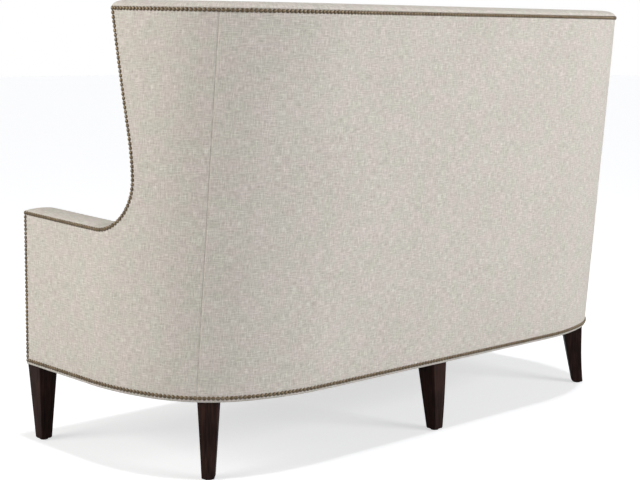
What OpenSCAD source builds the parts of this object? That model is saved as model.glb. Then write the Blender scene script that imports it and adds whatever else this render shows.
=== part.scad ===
// High back settee with wings, seen as a curved and leaning outer shell round a seat.
// It faces -Y and stands on z = 0, with its origin under the middle of its bounding box.

/* [Overall] */
// Width over the outside panels
overall_w = 1776; // [1600:2:2100]
// Arm fronts to the outside back, along the bottom edge
base_d = 729.5; // [690:0.5:800]
// Height of the bottom edge at the arm fronts
base_h = 209; // [180:1:230]
// Fall of the bottom edge towards the back, in degrees
base_fall_deg = 1.0; // [0:0.02:1.6]
// Height of the nail row along the top, at the middle of the back
back_row_h = 1154.5; // [1080:0.5:1220]
// Backward lean of the outside, in degrees
rake_deg = 5.8; // [4.5:0.1:8]

/* [Plan corners] */
// Radius where a back corner leaves the side and where it meets the back
soft_r = 640; // [600:1:680]
// Radius round the middle of a back corner
tight_r = 288; // [270:1:310]
// Turn of each soft stretch, in degrees
soft_turn_deg = 19.4; // [17:0.2:21]

// Turn of the corner seams, from the side of the settee, in degrees
seam_turn_deg = 43; // [40:0.5:47]
// Turn of the corner legs' place, from the side of the settee, in degrees
leg_turn_deg = 48.5; // [44:0.5:50]

/* [Side outline] */
// Height of the arm's nail row at the front
arm_row_h = 623.5; // [590:0.5:660]
// Fall of the arm towards the back, in degrees
arm_fall_deg = 2.35; // [1:0.05:4]
// Deepest point of the wing's front edge, from the arm fronts
notch_back = 481; // [465:1:500]
// Radius between the arm and the wing
notch_r = 139; // [110:1:160]
// Radius of the lower part of the wing's front edge
wing_r = 674; // [560:1:760]
// Forward lean of the upper part of the wing's front edge, in degrees
wing_lean_deg = 9.5; // [8:0.1:13]
// Fall of the top towards the back, in degrees
top_fall_deg = 1.62; // [0.6:0.02:2.4]

/* [Walls] */
// Thickness of the arms, the wings and the top of the back
wall_t = 92; // [86:1:104]
// Backward lean of the inside, in degrees
inside_lean_deg = 11; // [9:0.1:12]
// Thickness of the upholstery cloth
cover_t = 2; // [1.6:0.1:2.6]
// Thickness of the lining board with its wadding
lining_t = 6; // [4:0.5:8]
// Thickness of the frame timber
frame_t = 32; // [27:0.5:35]
// Padding on the front border and on the arm fronts
border_pad_t = 10; // [7:0.5:14]
// Rise of the arm tops and wing edges above the nail row
arm_rise = 13; // [10:0.5:18]
// Rise of the top of the back above the nail row
top_rise = 21.5; // [16:0.5:28]
// Reach of the outside panels past the middle of the nail row
rim_lap = 4; // [3:0.5:5]

/* [Seat] */
// Thickness of the seat deck, from the rail tops to the top of its cover
deck_t = 55; // [50:1:60]
// Thickness of the seat cushion at its seams
cushion_t = 128; // [110:1:145]
// Crown of the cushion's top
cushion_crown = 15; // [8:1:24]
// Crown of the cushion's underside
cushion_belly = 5; // [2:0.5:6]
// Pull of each side of the cushion between its corners
cushion_draw = 5; // [2:0.5:8]
// Room between the cushion's seams and the inside covers
cushion_room = 8; // [7:0.5:12]
// Front of the cushion, behind the arm fronts
cushion_front = 9; // [7:0.5:20]
// Radius of the cushion's welts
welt_r = 2.6; // [2:0.1:3]

/* [Frame] */
// Depth of the front rail, from the bottom edge to its top
rail_h = 86; // [76:1:96]
// Depth of a front post, front to back
front_post_d = 60; // [50:1:70]
// Depth of a side post, front to back
side_post_d = 60; // [50:1:70]
// Width of a back post
back_post_w = 50; // [40:1:54]
// Thickness of an arm rail
arm_rail_t = 25; // [20:1:32]
// Width of a wing post
wing_post_w = 50; // [40:1:60]
// Depth of the top rails
top_rail_h = 60; // [45:1:75]
// Width of a cross rail
cross_rail_w = 32; // [26:1:40]
// Drop of the cross rails below the rail tops
cross_drop = 20; // [14:1:28]
// Height of the underside of the tack rails above the deck
tack_up = 19; // [10:1:35]
// Depth of the tack rails
tack_rail_h = 40; // [30:1:50]
// Side of a corner block
block_l = 85; // [70:1:100]
// Height of a corner block
block_h = 48; // [40:1:56]
// Height of a corner block's underside above the bottom edge
block_up = 14; // [10:1:20]
// Reach of a leg block behind its rail
leg_block_d = 64; // [56:1:72]
// Height of a leg block
leg_block_h = 58; // [45:1:70]
// Width of the leg block in the middle of the back
leg_block_w = 66; // [56:1:76]

/* [Springs] */
// Thickness of the spring wire
wire_t = 3.6; // [3:0.1:4]
// Distance between springs
spring_pitch = 104; // [98:1:108]
// Distance between a spring's bars
bar_pitch = 26; // [24:0.5:30]
// Width of a spring between the centres of its bends
bend_span = 22; // [18:1:26]
// Thickness of a clip
clip_t = 1.5; // [1:0.1:2]
// Length of a clip, along the bar
clip_l = 20; // [14:1:24]
// Diameter of a tie wire
tie_d = 3; // [2.4:0.1:3.4]
// Thickness of the cloth over the springs
spring_cover_t = 1.5; // [1:0.1:2]

/* [Legs] */
// Side of a front leg at its top
front_leg_top = 58; // [50:1:64]
// Side of a leg at its foot
leg_foot = 32; // [26:1:38]
// Set back of a front leg's faces behind the cover's faces
front_leg_in = 2; // [1:0.5:6]
// Width of a back leg at its top
back_leg_w = 54; // [46:1:60]
// Depth of a back leg at its top
back_leg_d = 66; // [60:1:72]
// Set back of a corner leg's outer face at its top
corner_leg_in = 10; // [6:0.5:16]
// Set back of the middle back leg's outer face at its top
middle_leg_in = 16; // [12:0.5:20]
// Outward kick of a corner leg's foot
corner_kick = 7; // [2:0.5:10]
// Inward run of the middle back leg's outer face
middle_run = 3.5; // [0:0.5:6]
// Height at which a back leg starts to kick
kick_h = 132; // [95:1:150]
// Chamfer round a foot
foot_chamfer = 2; // [1:0.5:4]

/* [Hardware] */
// Diameter of a hanger bolt
bolt_d = 8; // [6:0.5:10]
// Reach of a hanger bolt into the leg, and into the frame
bolt_half_l = 38; // [30:1:44]
// Diameter of a glide
glide_d = 22; // [16:1:26]
// Thickness of a glide
glide_t = 3; // [2:0.5:5]
// Diameter of a block screw
screw_d = 4.5; // [3.5:0.5:5.5]
// Length of a block screw under its head
screw_l = 46; // [40:1:50]
// Thickness of the dust cover
dust_t = 1; // [0.8:0.1:1.5]
// Set back of the dust cover from the outside
dust_in = 6; // [4:0.5:10]

/* [Nails] */
// Diameter of a nail head
nail_d = 10.8; // [9:0.1:10.9]
// Rise of a nail head
nail_rise = 3.6; // [2.6:0.1:4.4]
// Distance between nails, at the least
nail_pitch = 11.2; // [11.1:0.1:14]
// Height of the bottom nail row above the bottom edge
bottom_row_up = 10.5; // [9:0.5:14]
// Set back of the arm fronts' nail rows
front_row_in = 5.5; // [5.5:0.1:8]

/* [Hidden] */
$fn = 48;

// Clearance between pieces that touch
seat_gap = 0.3;
// Length by which a cut runs past a face
overrun = 60;

half_w = overall_w / 2;
// The rail tops, the deck and the tack rails stand one on another
rail_top_h = base_h + rail_h;
deck_h = rail_top_h + deck_t;
tack_rail_z = deck_h + tack_up;
lean_sin = sin(rake_deg);
lean_cos = cos(rake_deg);
in_sin = sin(inside_lean_deg);
in_cos = cos(inside_lean_deg);

// Layers of a wall, as depths behind its outside face
lining_in = cover_t + seat_gap;
frame_in = lining_in + lining_t + seat_gap;
frame_out = frame_in + frame_t;
pad_in = frame_out + seat_gap;
pad_out = wall_t - cover_t - seat_gap;
frame_front = cover_t + border_pad_t + 2 * seat_gap;
// Depth past the thickest part of the back's padding
fill_share = 2.2;
fill_in = fill_share * wall_t;

// The outside is a curved wall that leans back: its plan is drawn square to the lean
base_back_h = base_h - base_d * tan(base_fall_deg);
back_l = base_d * lean_cos - base_back_h * lean_sin;
corner_reach = soft_r * (1 - cos(soft_turn_deg) + sin(soft_turn_deg))
    + tight_r * (cos(soft_turn_deg) - sin(soft_turn_deg));
c1 = [half_w - soft_r, back_l - corner_reach];
c2 = c1 + (soft_r - tight_r) * [cos(soft_turn_deg), sin(soft_turn_deg)];
c3 = c2 - (soft_r - tight_r) * [sin(soft_turn_deg), cos(soft_turn_deg)];
lean_span_share = 1.25;
lean_span = lean_span_share * back_row_h;
far_y = lean_span_share * (base_d + wall_t);

// The inside leans further, about a line at the height of the top nail row
inside_back_y = back_at(back_row_h) - wall_t / lean_cos;
inner_shift = inside_back_y * in_cos + wall_t - back_l;
top_y = back_at(back_row_h);
overall_d = top_y + (nail_rise + seat_gap) * lean_cos;

// Stations round the right hand corner, as angles of the outward normal:
// -1 stands for the front end and 91 for the middle of the back
soft_steps = 4;
tight_steps = 8;
tight_turn_deg = 90 - 2 * soft_turn_deg;
turns = concat([-1],
    [for (k = [0:soft_steps]) soft_turn_deg * k / soft_steps],
    [for (k = [1:tight_steps]) k == tight_steps / 2 ? seam_turn_deg : soft_turn_deg + tight_turn_deg * k / tight_steps],
    [for (k = [1:soft_steps]) 90 - soft_turn_deg + soft_turn_deg * k / soft_steps],
    [91]);
post_turn_low = 45 - tight_turn_deg / tight_steps;
post_turn_high = 45 + tight_turn_deg / tight_steps;
leg_block_turn = post_turn_high + tight_turn_deg / tight_steps;

function back_at(z) = (back_l + z * lean_sin) / lean_cos;
function base_z(y) = base_h - y * tan(base_fall_deg);
function arm_z(y, e) = arm_row_h + e / cos(arm_fall_deg) - y * tan(arm_fall_deg);
function top_z(y, e) = back_row_h + (top_y - y) * tan(top_fall_deg) + e / cos(top_fall_deg);

// A point of the plan, at depth d behind the outside face
function plan_pt(t, d) =
    t < 0 ? [half_w - d, -overall_w] :
    t <= soft_turn_deg ? c1 + (soft_r - d) * [cos(t), sin(t)] :
    t <= 90 - soft_turn_deg ? c2 + (tight_r - d) * [cos(t), sin(t)] :
    t <= 90 ? c3 + (soft_r - d) * [cos(t), sin(t)] : [0, back_l - d];
function between(t0, t1) = let (slack = 0.01)
    [for (t = turns) if (t > t0 - slack && t < t1 + slack) t];
function line_pts(d, t0, t1) = [for (t = between(t0, t1)) plan_pt(t, d)];
function reversed(l) = [for (i = [len(l) - 1:-1:0]) l[i]];
function flipped(l) = [for (p = reversed(l)) [-p[0], p[1]]];
function band_pts(d0, d1, t0, t1) = concat(line_pts(d0, t0, t1), reversed(line_pts(d1, t0, t1)));
function arch_pts(d0, d1, t0) = let (o = line_pts(d0, t0, 90), i = line_pts(d1, t0, 90))
    concat(o, flipped(o), reversed(concat(i, flipped(i))));
function floor_pts(d) = let (o = line_pts(d, -1, 90)) concat(o, flipped(o));
function skin_x(l, d) = l <= c1[1] ? half_w - d : c1[0] + sqrt(pow(soft_r - d, 2) - pow(l - c1[1], 2));

// The side outline follows the nail row, moved outwards by e; y runs back and z up
notch_c = let (y = notch_back - notch_r)
    [y, arm_z(y - notch_r * sin(arm_fall_deg), 0) + notch_r * cos(arm_fall_deg)];
wing_c = [notch_back - wing_r, notch_c[1]];
function wing_end(e) = wing_c + (wing_r - e) * [cos(wing_lean_deg), sin(wing_lean_deg)];
function wing_run(e, et) = let (w = wing_end(e))
    (top_z(w[0], et) - w[1]) / (cos(wing_lean_deg) - tan(top_fall_deg) * sin(wing_lean_deg));
function wing_top(e, et) = wing_end(e) + wing_run(e, et) * [-sin(wing_lean_deg), cos(wing_lean_deg)];
notch_steps = 7;
wing_steps = 3;
notch_turn_deg = 90 + arm_fall_deg;
function notch_pts(e) = [for (k = [0:notch_steps])
    let (a = -notch_turn_deg * (1 - k / notch_steps)) notch_c + (notch_r - e) * [cos(a), sin(a)]];
function wing_pts(e) = [for (k = [1:wing_steps])
    let (a = wing_lean_deg * k / wing_steps) wing_c + (wing_r - e) * [cos(a), sin(a)]];
// Top front corner of the wing, rounded where its two edges are moved out alike
function corner_pts(e, et) = e != et ? [wing_top(e, et)] : [for (k = [0:fan_steps]) let (a = fan_deg(k))
    wing_top(0, 0) + e * [cos(a), sin(a)]];
function profile_pts(e, et, front) = concat(
    [[front, base_z(front)], [front, arm_z(front, e)]],
    notch_pts(e), wing_pts(e), corner_pts(e, et),
    [[far_y, top_z(far_y, et)], [far_y, base_z(far_y)]]);
function arm_pts(y0, y1, low, e) = [[y0, low], [y1, low], [y1, arm_z(y1, e)], [y0, arm_z(y0, e)]];
function wedge_pts(y0, y1, z1) = [[y0, base_z(y0)], [y1, base_z(y1)], [y1, z1], [y0, z1]];
function slab_pts(z0, z1) = [[-far_y, z0], [far_y, z0], [far_y, z1], [-far_y, z1]];
function under_top_pts(z0, e) = [[-far_y, z0], [far_y, z0], [far_y, top_z(far_y, e)], [-far_y, top_z(-far_y, e)]];

// Puts the front frame of reference on the object's origin
module placed() translate([0, -overall_d / 2, 0]) children();
module both_sides() {
    children();
    mirror([1, 0, 0]) children();
}
module side_view(w = overall_w + overrun) rotate([90, 0, 90]) linear_extrude(w, center = true) children();
module outer_lean() rotate([-rake_deg, 0, 0]) linear_extrude(lean_span) children();
module inner_lean() translate([0, 0, back_row_h]) rotate([-inside_lean_deg, 0, 0])
    translate([0, inner_shift, -lean_span]) linear_extrude(lean_span_share * lean_span) children();
module outer_band(d0, d1, t0, t1) outer_lean() polygon(band_pts(d0, d1, t0, t1));
module outer_arch(d0, d1, t0) outer_lean() polygon(arch_pts(d0, d1, t0));

// A closed solid through rings of points, with a cap on each end
module loft(rings) {
    n = len(rings[0]);
    m = len(rings);
    polyhedron(
        points = [for (r = rings) for (p = r) p],
        faces = concat(
            [[for (i = [0:n - 1]) i]],
            [for (j = [0:m - 2]) for (i = [0:n - 1]) for (half = [0, 1])
                let (a = j * n + i, b = j * n + (i + 1) % n)
                half == 0 ? [a, a + n, b + n] : [a, b + n, b]],
            [[for (i = [n - 1:-1:0]) (m - 1) * n + i]]));
}

// Timber frame
timber = [0.72, 0.56, 0.36];
module rail_zone() side_view() polygon(wedge_pts(frame_front, far_y, rail_top_h));

module front_rail() placed() color(timber) difference() {
    side_view(2 * (half_w - frame_out - seat_gap))
        polygon(wedge_pts(frame_front, frame_front + frame_t, rail_top_h));
    leg_bores();
    block_screw_set(screw_room);
}
module back_rail() placed() color(timber) intersection() {
    outer_arch(frame_in, frame_out, 90);
    rail_zone();
}
module side_rails() placed() color(timber) both_sides() difference() {
    intersection() {
        outer_band(frame_in, frame_out, -1, 0);
        side_view() polygon(wedge_pts(frame_front + front_post_d + seat_gap, far_y, rail_top_h));
    }
    block_screw_set(screw_room);
}
module corner_rails() placed() color(timber) both_sides() intersection() {
    outer_band(frame_in, frame_out, 0, 90);
    rail_zone();
}
cross_rail_x = 4 * spring_pitch;
module cross_rails() placed() color(timber) both_sides() intersection() {
    translate([cross_rail_x, 0, 0]) side_view(cross_rail_w)
        polygon(wedge_pts(frame_front + frame_t + seat_gap, far_y, rail_top_h - cross_drop));
    outer_lean() polygon(floor_pts(pad_in));
}
module front_posts() placed() color(timber) both_sides() difference() {
    translate([half_w - (frame_in + frame_out) / 2, 0, 0]) side_view(frame_t) polygon([
        [frame_front, base_z(frame_front)],
        [frame_front + front_post_d, base_z(frame_front + front_post_d)],
        [frame_front + front_post_d, arm_z(frame_front + front_post_d, rim_lap) - arm_rail_t - seat_gap],
        [frame_front, arm_z(frame_front, rim_lap) - arm_rail_t - seat_gap]]);
    leg_bores();
}
side_post_y = notch_back - side_post_d;
module side_posts() placed() color(timber) both_sides() intersection() {
    outer_band(frame_in, frame_out, -1, seam_turn_deg);
    side_view() polygon(arm_pts(side_post_y, notch_back, rail_top_h + seat_gap,
        rim_lap - arm_rail_t - seat_gap));
}
module post_zone() side_view()
    polygon(under_top_pts(rail_top_h + seat_gap, rim_lap - top_rail_h - seat_gap));
module corner_posts() placed() color(timber) both_sides() intersection() {
    outer_band(frame_in, frame_out, post_turn_low, post_turn_high);
    post_zone();
}
back_post_x = 4 * spring_pitch;
module back_post_boxes(room) for (x = [-back_post_x, 0, back_post_x])
    translate([x - back_post_w / 2 - room, 0, 0]) cube([back_post_w + 2 * room, far_y, lean_span]);
module back_posts() placed() color(timber) intersection() {
    outer_arch(frame_in, frame_out, 90);
    post_zone();
    back_post_boxes(0);
}
module arm_rails() placed() color(timber) both_sides() intersection() {
    outer_band(frame_in, frame_out, -1, seam_turn_deg);
    side_view() polygon([
        [frame_front, arm_z(frame_front, rim_lap) - arm_rail_t],
        [notch_back, arm_z(notch_back, rim_lap) - arm_rail_t],
        [notch_back, arm_z(notch_back, rim_lap)],
        [frame_front, arm_z(frame_front, rim_lap)]]);
}
// Everything above the line of the arm, carried on to the back
module over_arm_line() difference() {
    children();
    polygon(arm_pts(-far_y, far_y + overrun, 0, rim_lap + seat_gap));
}
module wing_posts() placed() color(timber) both_sides() intersection() {
    outer_band(frame_in, frame_out, -1, seam_turn_deg);
    side_view() over_arm_line() difference() {
        polygon(profile_pts(rim_lap, rim_lap, frame_front));
        polygon(profile_pts(rim_lap - wing_post_w, rim_lap + overrun, frame_front));
    }
}
module top_zone(e) difference() {
    polygon(profile_pts(e, rim_lap, frame_front));
    polygon(under_top_pts(0, rim_lap - top_rail_h));
}
module wing_top_rails() placed() color(timber) both_sides() intersection() {
    outer_band(frame_in, frame_out, -1, 90);
    side_view() top_zone(rim_lap - wing_post_w - seat_gap);
}
module back_top_rail() placed() color(timber) intersection() {
    outer_arch(frame_in, frame_out, 90);
    side_view() top_zone(rim_lap);
}
module tack_zone(y0, y1) side_view() polygon([
    [y0, tack_rail_z], [y1, tack_rail_z],
    [y1, tack_rail_z + tack_rail_h], [y0, tack_rail_z + tack_rail_h]]);
module tack_rails() placed() color(timber) both_sides() {
    intersection() {
        outer_band(frame_in, frame_out, -1, seam_turn_deg);
        tack_zone(frame_front + front_post_d + seat_gap, side_post_y - seat_gap);
    }
    intersection() {
        outer_band(frame_in, frame_out, -1, post_turn_low);
        tack_zone(notch_back + seat_gap, far_y);
    }
    difference() {
        intersection() {
            outer_band(frame_in, frame_out, post_turn_high, 91);
            tack_zone(0, far_y);
        }
        back_post_boxes(seat_gap);
    }
}

// Blocks in the front corners, each held by two screws
block_x = half_w - frame_out - seat_gap;
block_y = frame_front + frame_t + seat_gap;
block_z = base_h + block_up;
screw_room = 0.15;
screw_at_share = 0.4;
screw_head_share = 1.9;
screw_head_t_share = 0.6;
screw_sunk_share = 0.35;
module block_screw(room) {
    cylinder(d = screw_d + 2 * room, h = screw_l + room);
    translate([0, 0, -screw_head_t_share * screw_d - room])
        cylinder(d = screw_head_share * screw_d + 2 * room, h = screw_head_t_share * screw_d + room);
    if (room > 0) translate([0, 0, -block_l])
        cylinder(d = screw_head_share * screw_d + 2 * room, h = block_l);
}
module block_screw_set(room) {
    sunk = screw_sunk_share * block_l;
    z = block_z + block_h / 2;
    both_sides() {
        translate([block_x - screw_at_share * block_l, block_y + sunk, z]) rotate([90, 0, 0]) block_screw(room);
        translate([block_x - sunk, block_y + screw_at_share * block_l, z + 3 * screw_d])
            rotate([0, 90, 0]) block_screw(room);
    }
}
module corner_blocks() placed() color([0.78, 0.64, 0.42]) difference() {
    both_sides() translate([block_x, block_y, block_z])
        linear_extrude(block_h) polygon([[0, 0], [0, block_l], [-block_l, 0]]);
    block_screw_set(screw_room);
}
module block_screws() placed() color([0.75, 0.68, 0.45]) block_screw_set(0);

module leg_blocks() placed() color([0.78, 0.64, 0.42]) difference() {
    intersection() {
        union() {
            both_sides() outer_band(pad_in, pad_in + leg_block_d, post_turn_low, leg_block_turn);
            intersection() {
                outer_arch(pad_in, pad_in + leg_block_d, 90);
                translate([-leg_block_w / 2, 0, 0]) cube([leg_block_w, far_y, lean_span]);
            }
        }
        side_view() polygon([[0, base_z(0)], [far_y, base_z(far_y)],
            [far_y, base_z(far_y) + leg_block_h], [0, base_z(0) + leg_block_h]]);
    }
    leg_bores();
}

// Zigzag seat springs from the front rail to the back rail
steel = [0.62, 0.64, 0.66];
spring_count = 6;
bend_steps = 3;
spring_z = rail_top_h + seat_gap;
spring_y0 = frame_front + frame_t / 2;
rail_mid = (frame_in + frame_out) / 2;
function rail_mid_l(x) = x <= c3[0] ? back_l - rail_mid : c3[1] + sqrt(pow(soft_r - rail_mid, 2) - pow(x - c3[0], 2));
function spring_y1(x) = (rail_mid_l(x) + rail_top_h * lean_sin) / lean_cos;
function spring_bars(x) = floor((spring_y1(x) - spring_y0) / bar_pitch);
// One edge of the wire: side is 1 on the left of its run and -1 on the right
function spring_edge(n, p, side) = concat(
    [[-bend_span, side * wire_t / 2]],
    [for (i = [0:n - 1]) for (k = [0:bend_steps]) let (sgn = i % 2 == 0 ? 1 : -1,
        r = p / 2 - side * sgn * wire_t / 2, a = 180 * k / bend_steps - 90)
        [sgn * (bend_span + r * cos(a)), (i + 0.5) * p + r * sin(a)]],
    [let (sgn = n % 2 == 0 ? 1 : -1) [sgn * bend_span, n * p + side * sgn * wire_t / 2]]);
// Neighbouring springs face each other, so way is 1 or -1
module seat_spring(x, way) {
    n = spring_bars(x);
    p = (spring_y1(x) - spring_y0) / n;
    translate([x, spring_y0, spring_z]) linear_extrude(wire_t)
        polygon([for (q = concat(spring_edge(n, p, 1), reversed(spring_edge(n, p, -1)))) [way * q[0], q[1]]]);
}
module seat_springs() placed() color(steel) for (i = [0:spring_count - 1]) both_sides()
    seat_spring((i + 0.5) * spring_pitch, i % 2 == 0 ? -1 : 1);
module spring_clip() {
    w = wire_t + 2 * seat_gap;
    difference() {
        translate([-clip_l / 2, -w / 2 - clip_t, 0]) cube([clip_l, w + 2 * clip_t, spring_z - rail_top_h + w + clip_t]);
        translate([-clip_l, -w / 2, -overrun]) cube([2 * clip_l, w, overrun + spring_z - rail_top_h + w]);
    }
}
module spring_clips() placed() color(steel) for (i = [0:spring_count - 1]) both_sides() {
    x = (i + 0.5) * spring_pitch;
    for (y = [spring_y0, spring_y1(x)]) translate([x, y, rail_top_h]) spring_clip();
}
tie_shares = [0.25, 0.5, 0.75];
tie_z = spring_z + wire_t + seat_gap + tie_d / 2;
module spring_ties() placed() color(steel) for (s = tie_shares)
    translate([-spring_count * spring_pitch, spring_y0 + s * (spring_y1(0) - spring_y0), tie_z])
        rotate([0, 90, 0]) cylinder(d = tie_d, h = 2 * spring_count * spring_pitch);
spring_cover_z = tie_z + tie_d / 2 + seat_gap;
pad_z = spring_cover_z + spring_cover_t + seat_gap;
module spring_cover() placed() color([0.62, 0.5, 0.33]) intersection() {
    side_view() polygon([[frame_front, spring_cover_z], [far_y, spring_cover_z],
        [far_y, spring_cover_z + spring_cover_t], [frame_front, spring_cover_z + spring_cover_t]]);
    outer_lean() polygon(floor_pts(pad_in));
}

// Seat deck and front border
cloth = [0.78, 0.74, 0.68];
foam = [0.9, 0.86, 0.7];
module deck_pad() placed() color(foam) intersection() {
    side_view() polygon([[lining_in, pad_z], [far_y, pad_z],
        [far_y, deck_h - cover_t - seat_gap], [lining_in, deck_h - cover_t - seat_gap]]);
    inner_lean() polygon(floor_pts(wall_t + seat_gap));
}
module deck_cover() placed() color(cloth) intersection() {
    side_view() polygon([[0, base_z(0)], [cover_t, base_z(cover_t)], [cover_t, deck_h - cover_t],
        [far_y, deck_h - cover_t], [far_y, deck_h], [0, deck_h]]);
    inner_lean() polygon(floor_pts(wall_t + seat_gap));
}
module front_border_pad() placed() color(foam) side_view(2 * (half_w - wall_t - seat_gap))
    polygon(wedge_pts(lining_in, lining_in + border_pad_t, spring_cover_z + spring_cover_t));

// Arm fronts
arm_front_w = wall_t - 2 * (cover_t + seat_gap);
module arm_front(y0, y1) both_sides() translate([half_w - wall_t / 2, 0, 0]) side_view(arm_front_w)
    polygon([[y0, base_z(y0)], [y1, base_z(y1)], [y1, arm_z(y1, rim_lap)], [y0, arm_z(y0, rim_lap)]]);
module arm_front_pads() placed() color(foam) arm_front(lining_in, lining_in + border_pad_t);
module arm_front_covers() placed() color(cloth) arm_front(0, cover_t);

// Lining boards behind the outside panels
board = [0.7, 0.62, 0.5];
module lining(t0, t1) outer_band(lining_in, lining_in + lining_t, t0, t1);
module arm_linings() placed() color(board) both_sides() intersection() {
    lining(-1, seam_turn_deg);
    side_view() polygon([[frame_front, base_z(frame_front)], [far_y, base_z(far_y)],
        [far_y, arm_z(far_y, rim_lap)], [frame_front, arm_z(frame_front, rim_lap)]]);
}
module wing_linings() placed() color(board) both_sides() intersection() {
    lining(-1, seam_turn_deg);
    side_view() over_arm_line() polygon(profile_pts(rim_lap, rim_lap, frame_front));
}
module wall_zone() side_view() polygon([[0, base_z(0)], [far_y, base_z(far_y)],
    [far_y, top_z(far_y, rim_lap)], [0, top_z(0, rim_lap)]]);
module corner_linings() placed() color(board) both_sides() intersection() {
    lining(seam_turn_deg, 90);
    wall_zone();
}
module back_lining() placed() color(board) intersection() {
    outer_arch(lining_in, lining_in + lining_t, 90);
    wall_zone();
}

// Inside padding between the frame and the inside covers
module padding() difference() {
    intersection() {
        children(0);
        children(1);
    }
    inner_lean() polygon(floor_pts(pad_out));
}
module arm_pads() placed() color(foam) both_sides() padding() {
    outer_band(pad_in, fill_in, -1, seam_turn_deg);
    side_view() polygon(arm_pts(frame_front, far_y, pad_z, rim_lap));
}
module wing_pads() placed() color(foam) both_sides() padding() {
    outer_band(pad_in, fill_in, -1, seam_turn_deg);
    side_view() over_arm_line() polygon(profile_pts(rim_lap, rim_lap, frame_front));
}
module corner_pads() placed() color(foam) both_sides() padding() {
    outer_band(pad_in, fill_in, seam_turn_deg, 90);
    side_view() polygon(under_top_pts(pad_z, rim_lap));
}
module back_pad() placed() color(foam) padding() {
    outer_arch(pad_in, fill_in, 90);
    side_view() polygon(under_top_pts(pad_z, rim_lap));
}

// Inside covers
module inside_arm_covers() placed() color(cloth) both_sides() intersection() {
    inner_lean() polygon(band_pts(wall_t - cover_t, wall_t, -1, seam_turn_deg));
    side_view() polygon(concat([[0, base_z(0)], [frame_front, base_z(frame_front)], [frame_front, pad_z]],
        [[far_y, pad_z], [far_y, arm_z(far_y, rim_lap)], [0, arm_z(0, rim_lap)]]));
}
module inside_wing_covers() placed() color(cloth) both_sides() intersection() {
    inner_lean() polygon(band_pts(wall_t - cover_t, wall_t, -1, seam_turn_deg));
    side_view() over_arm_line() polygon(profile_pts(rim_lap, rim_lap, 0));
}
module inside_back_cover() placed() color(cloth) intersection() {
    inner_lean() polygon(arch_pts(wall_t - cover_t, wall_t, seam_turn_deg));
    side_view() polygon(under_top_pts(pad_z, rim_lap));
}

// Padded and covered edge along the arm tops, the wing fronts and the top
roll_shares = [0, 0.1, 0.22, 0.36, 0.5, 0.64, 0.78, 0.9, 1];
roll_low = rim_lap + seat_gap;
function roll_bulge(f) = 1 - pow(2 * f - 1, 2);
function roll_e(f, rise) = roll_low + (rise - roll_low) * roll_bulge(f);
function rim_point(y, z, f) = let (
    xo = skin_x(y * lean_cos - z * lean_sin, 0),
    xi = skin_x(y * in_cos - (z - back_row_h) * in_sin - inner_shift, wall_t))
    [xo + (xi - xo) * f, y, z];
function side_ring(y, z, a, rise) = [for (f = roll_shares) let (e = roll_e(f, rise))
    rim_point(y + e * cos(a), z + e * sin(a), f)];
function top_point(t, d, e) = let (
    p = plan_pt(t, d),
    b = tan(top_fall_deg),
    z = (back_row_h + b * top_y + e / cos(top_fall_deg) - b * p[1] / lean_cos) / (1 + b * lean_sin / lean_cos))
    [p[0], (p[1] + z * lean_sin) / lean_cos, z];
function top_ring(t, rise) = [for (f = roll_shares) top_point(t, f * wall_t, roll_e(f, rise))];
// Outward direction of the rim on the arm, and on the straight of the wing
arm_out_deg = 90 - arm_fall_deg;
wing_out_deg = 180 + wing_lean_deg;
arm_steps = 4;
arm_end_y = notch_c[0] - notch_r * sin(arm_fall_deg);
// The arm's roll rounds down over its first few centimetres
front_ease_shares = [0, 0.12, 0.35, 1];
front_ease_rises = [0.55, 0.85, 1, 1];
front_ease_l = 4 * arm_rise;
function arm_rings() = concat(
    [for (i = [0:len(front_ease_shares) - 1]) let (y = front_ease_shares[i] * front_ease_l)
        side_ring(y, arm_z(y, 0), arm_out_deg, roll_low + front_ease_rises[i] * (arm_rise - roll_low))],
    [for (k = [1:arm_steps]) let (y = front_ease_l + (arm_end_y - front_ease_l) * k / arm_steps)
        side_ring(y, arm_z(y, 0), arm_out_deg, arm_rise)]);
fan_steps = 4;
wing_line_steps = 3;
function wing_rings() = concat(
    [for (k = [0:notch_steps]) let (a = -notch_turn_deg * (1 - k / notch_steps), p = notch_c + notch_r * [cos(a), sin(a)])
        side_ring(p[0], p[1], a + 180, arm_rise)],
    [for (k = [1:wing_steps]) let (a = wing_lean_deg * k / wing_steps, p = wing_c + wing_r * [cos(a), sin(a)])
        side_ring(p[0], p[1], a + 180, arm_rise)],
    [for (k = [1:wing_line_steps]) let (p = wing_end(0) + k / wing_line_steps * (wing_top(0, 0) - wing_end(0)))
        side_ring(p[0], p[1], wing_out_deg, arm_rise)]);
fan_start = wing_top(0, 0);
fan_end_deg = 90 - top_fall_deg;
fan_rise_shares = [0, 0.3, 0.65, 0.9, 1];
function fan_deg(k) = wing_out_deg + (fan_end_deg - wing_out_deg) * k / fan_steps;
function fan_rings() = [for (k = [0:fan_steps])
    side_ring(fan_start[0], fan_start[1], fan_deg(k), arm_rise + fan_rise_shares[k] * (top_rise - arm_rise))];
function mirrored_rings(l) = [for (r = reversed(l)) [for (p = r) [-p[0], p[1], p[2]]]];
module arm_rolls() placed() color(cloth) both_sides() loft(reversed(arm_rings()));
module wing_rolls() placed() color(cloth) both_sides() loft(reversed(wing_rings()));
module top_roll() placed() color(cloth) {
    half = concat(fan_rings(), [for (t = turns) if (t > 0 && t <= 90) top_ring(t, top_rise)]);
    loft(reversed(concat(half, mirrored_rings(half))));
}

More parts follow.
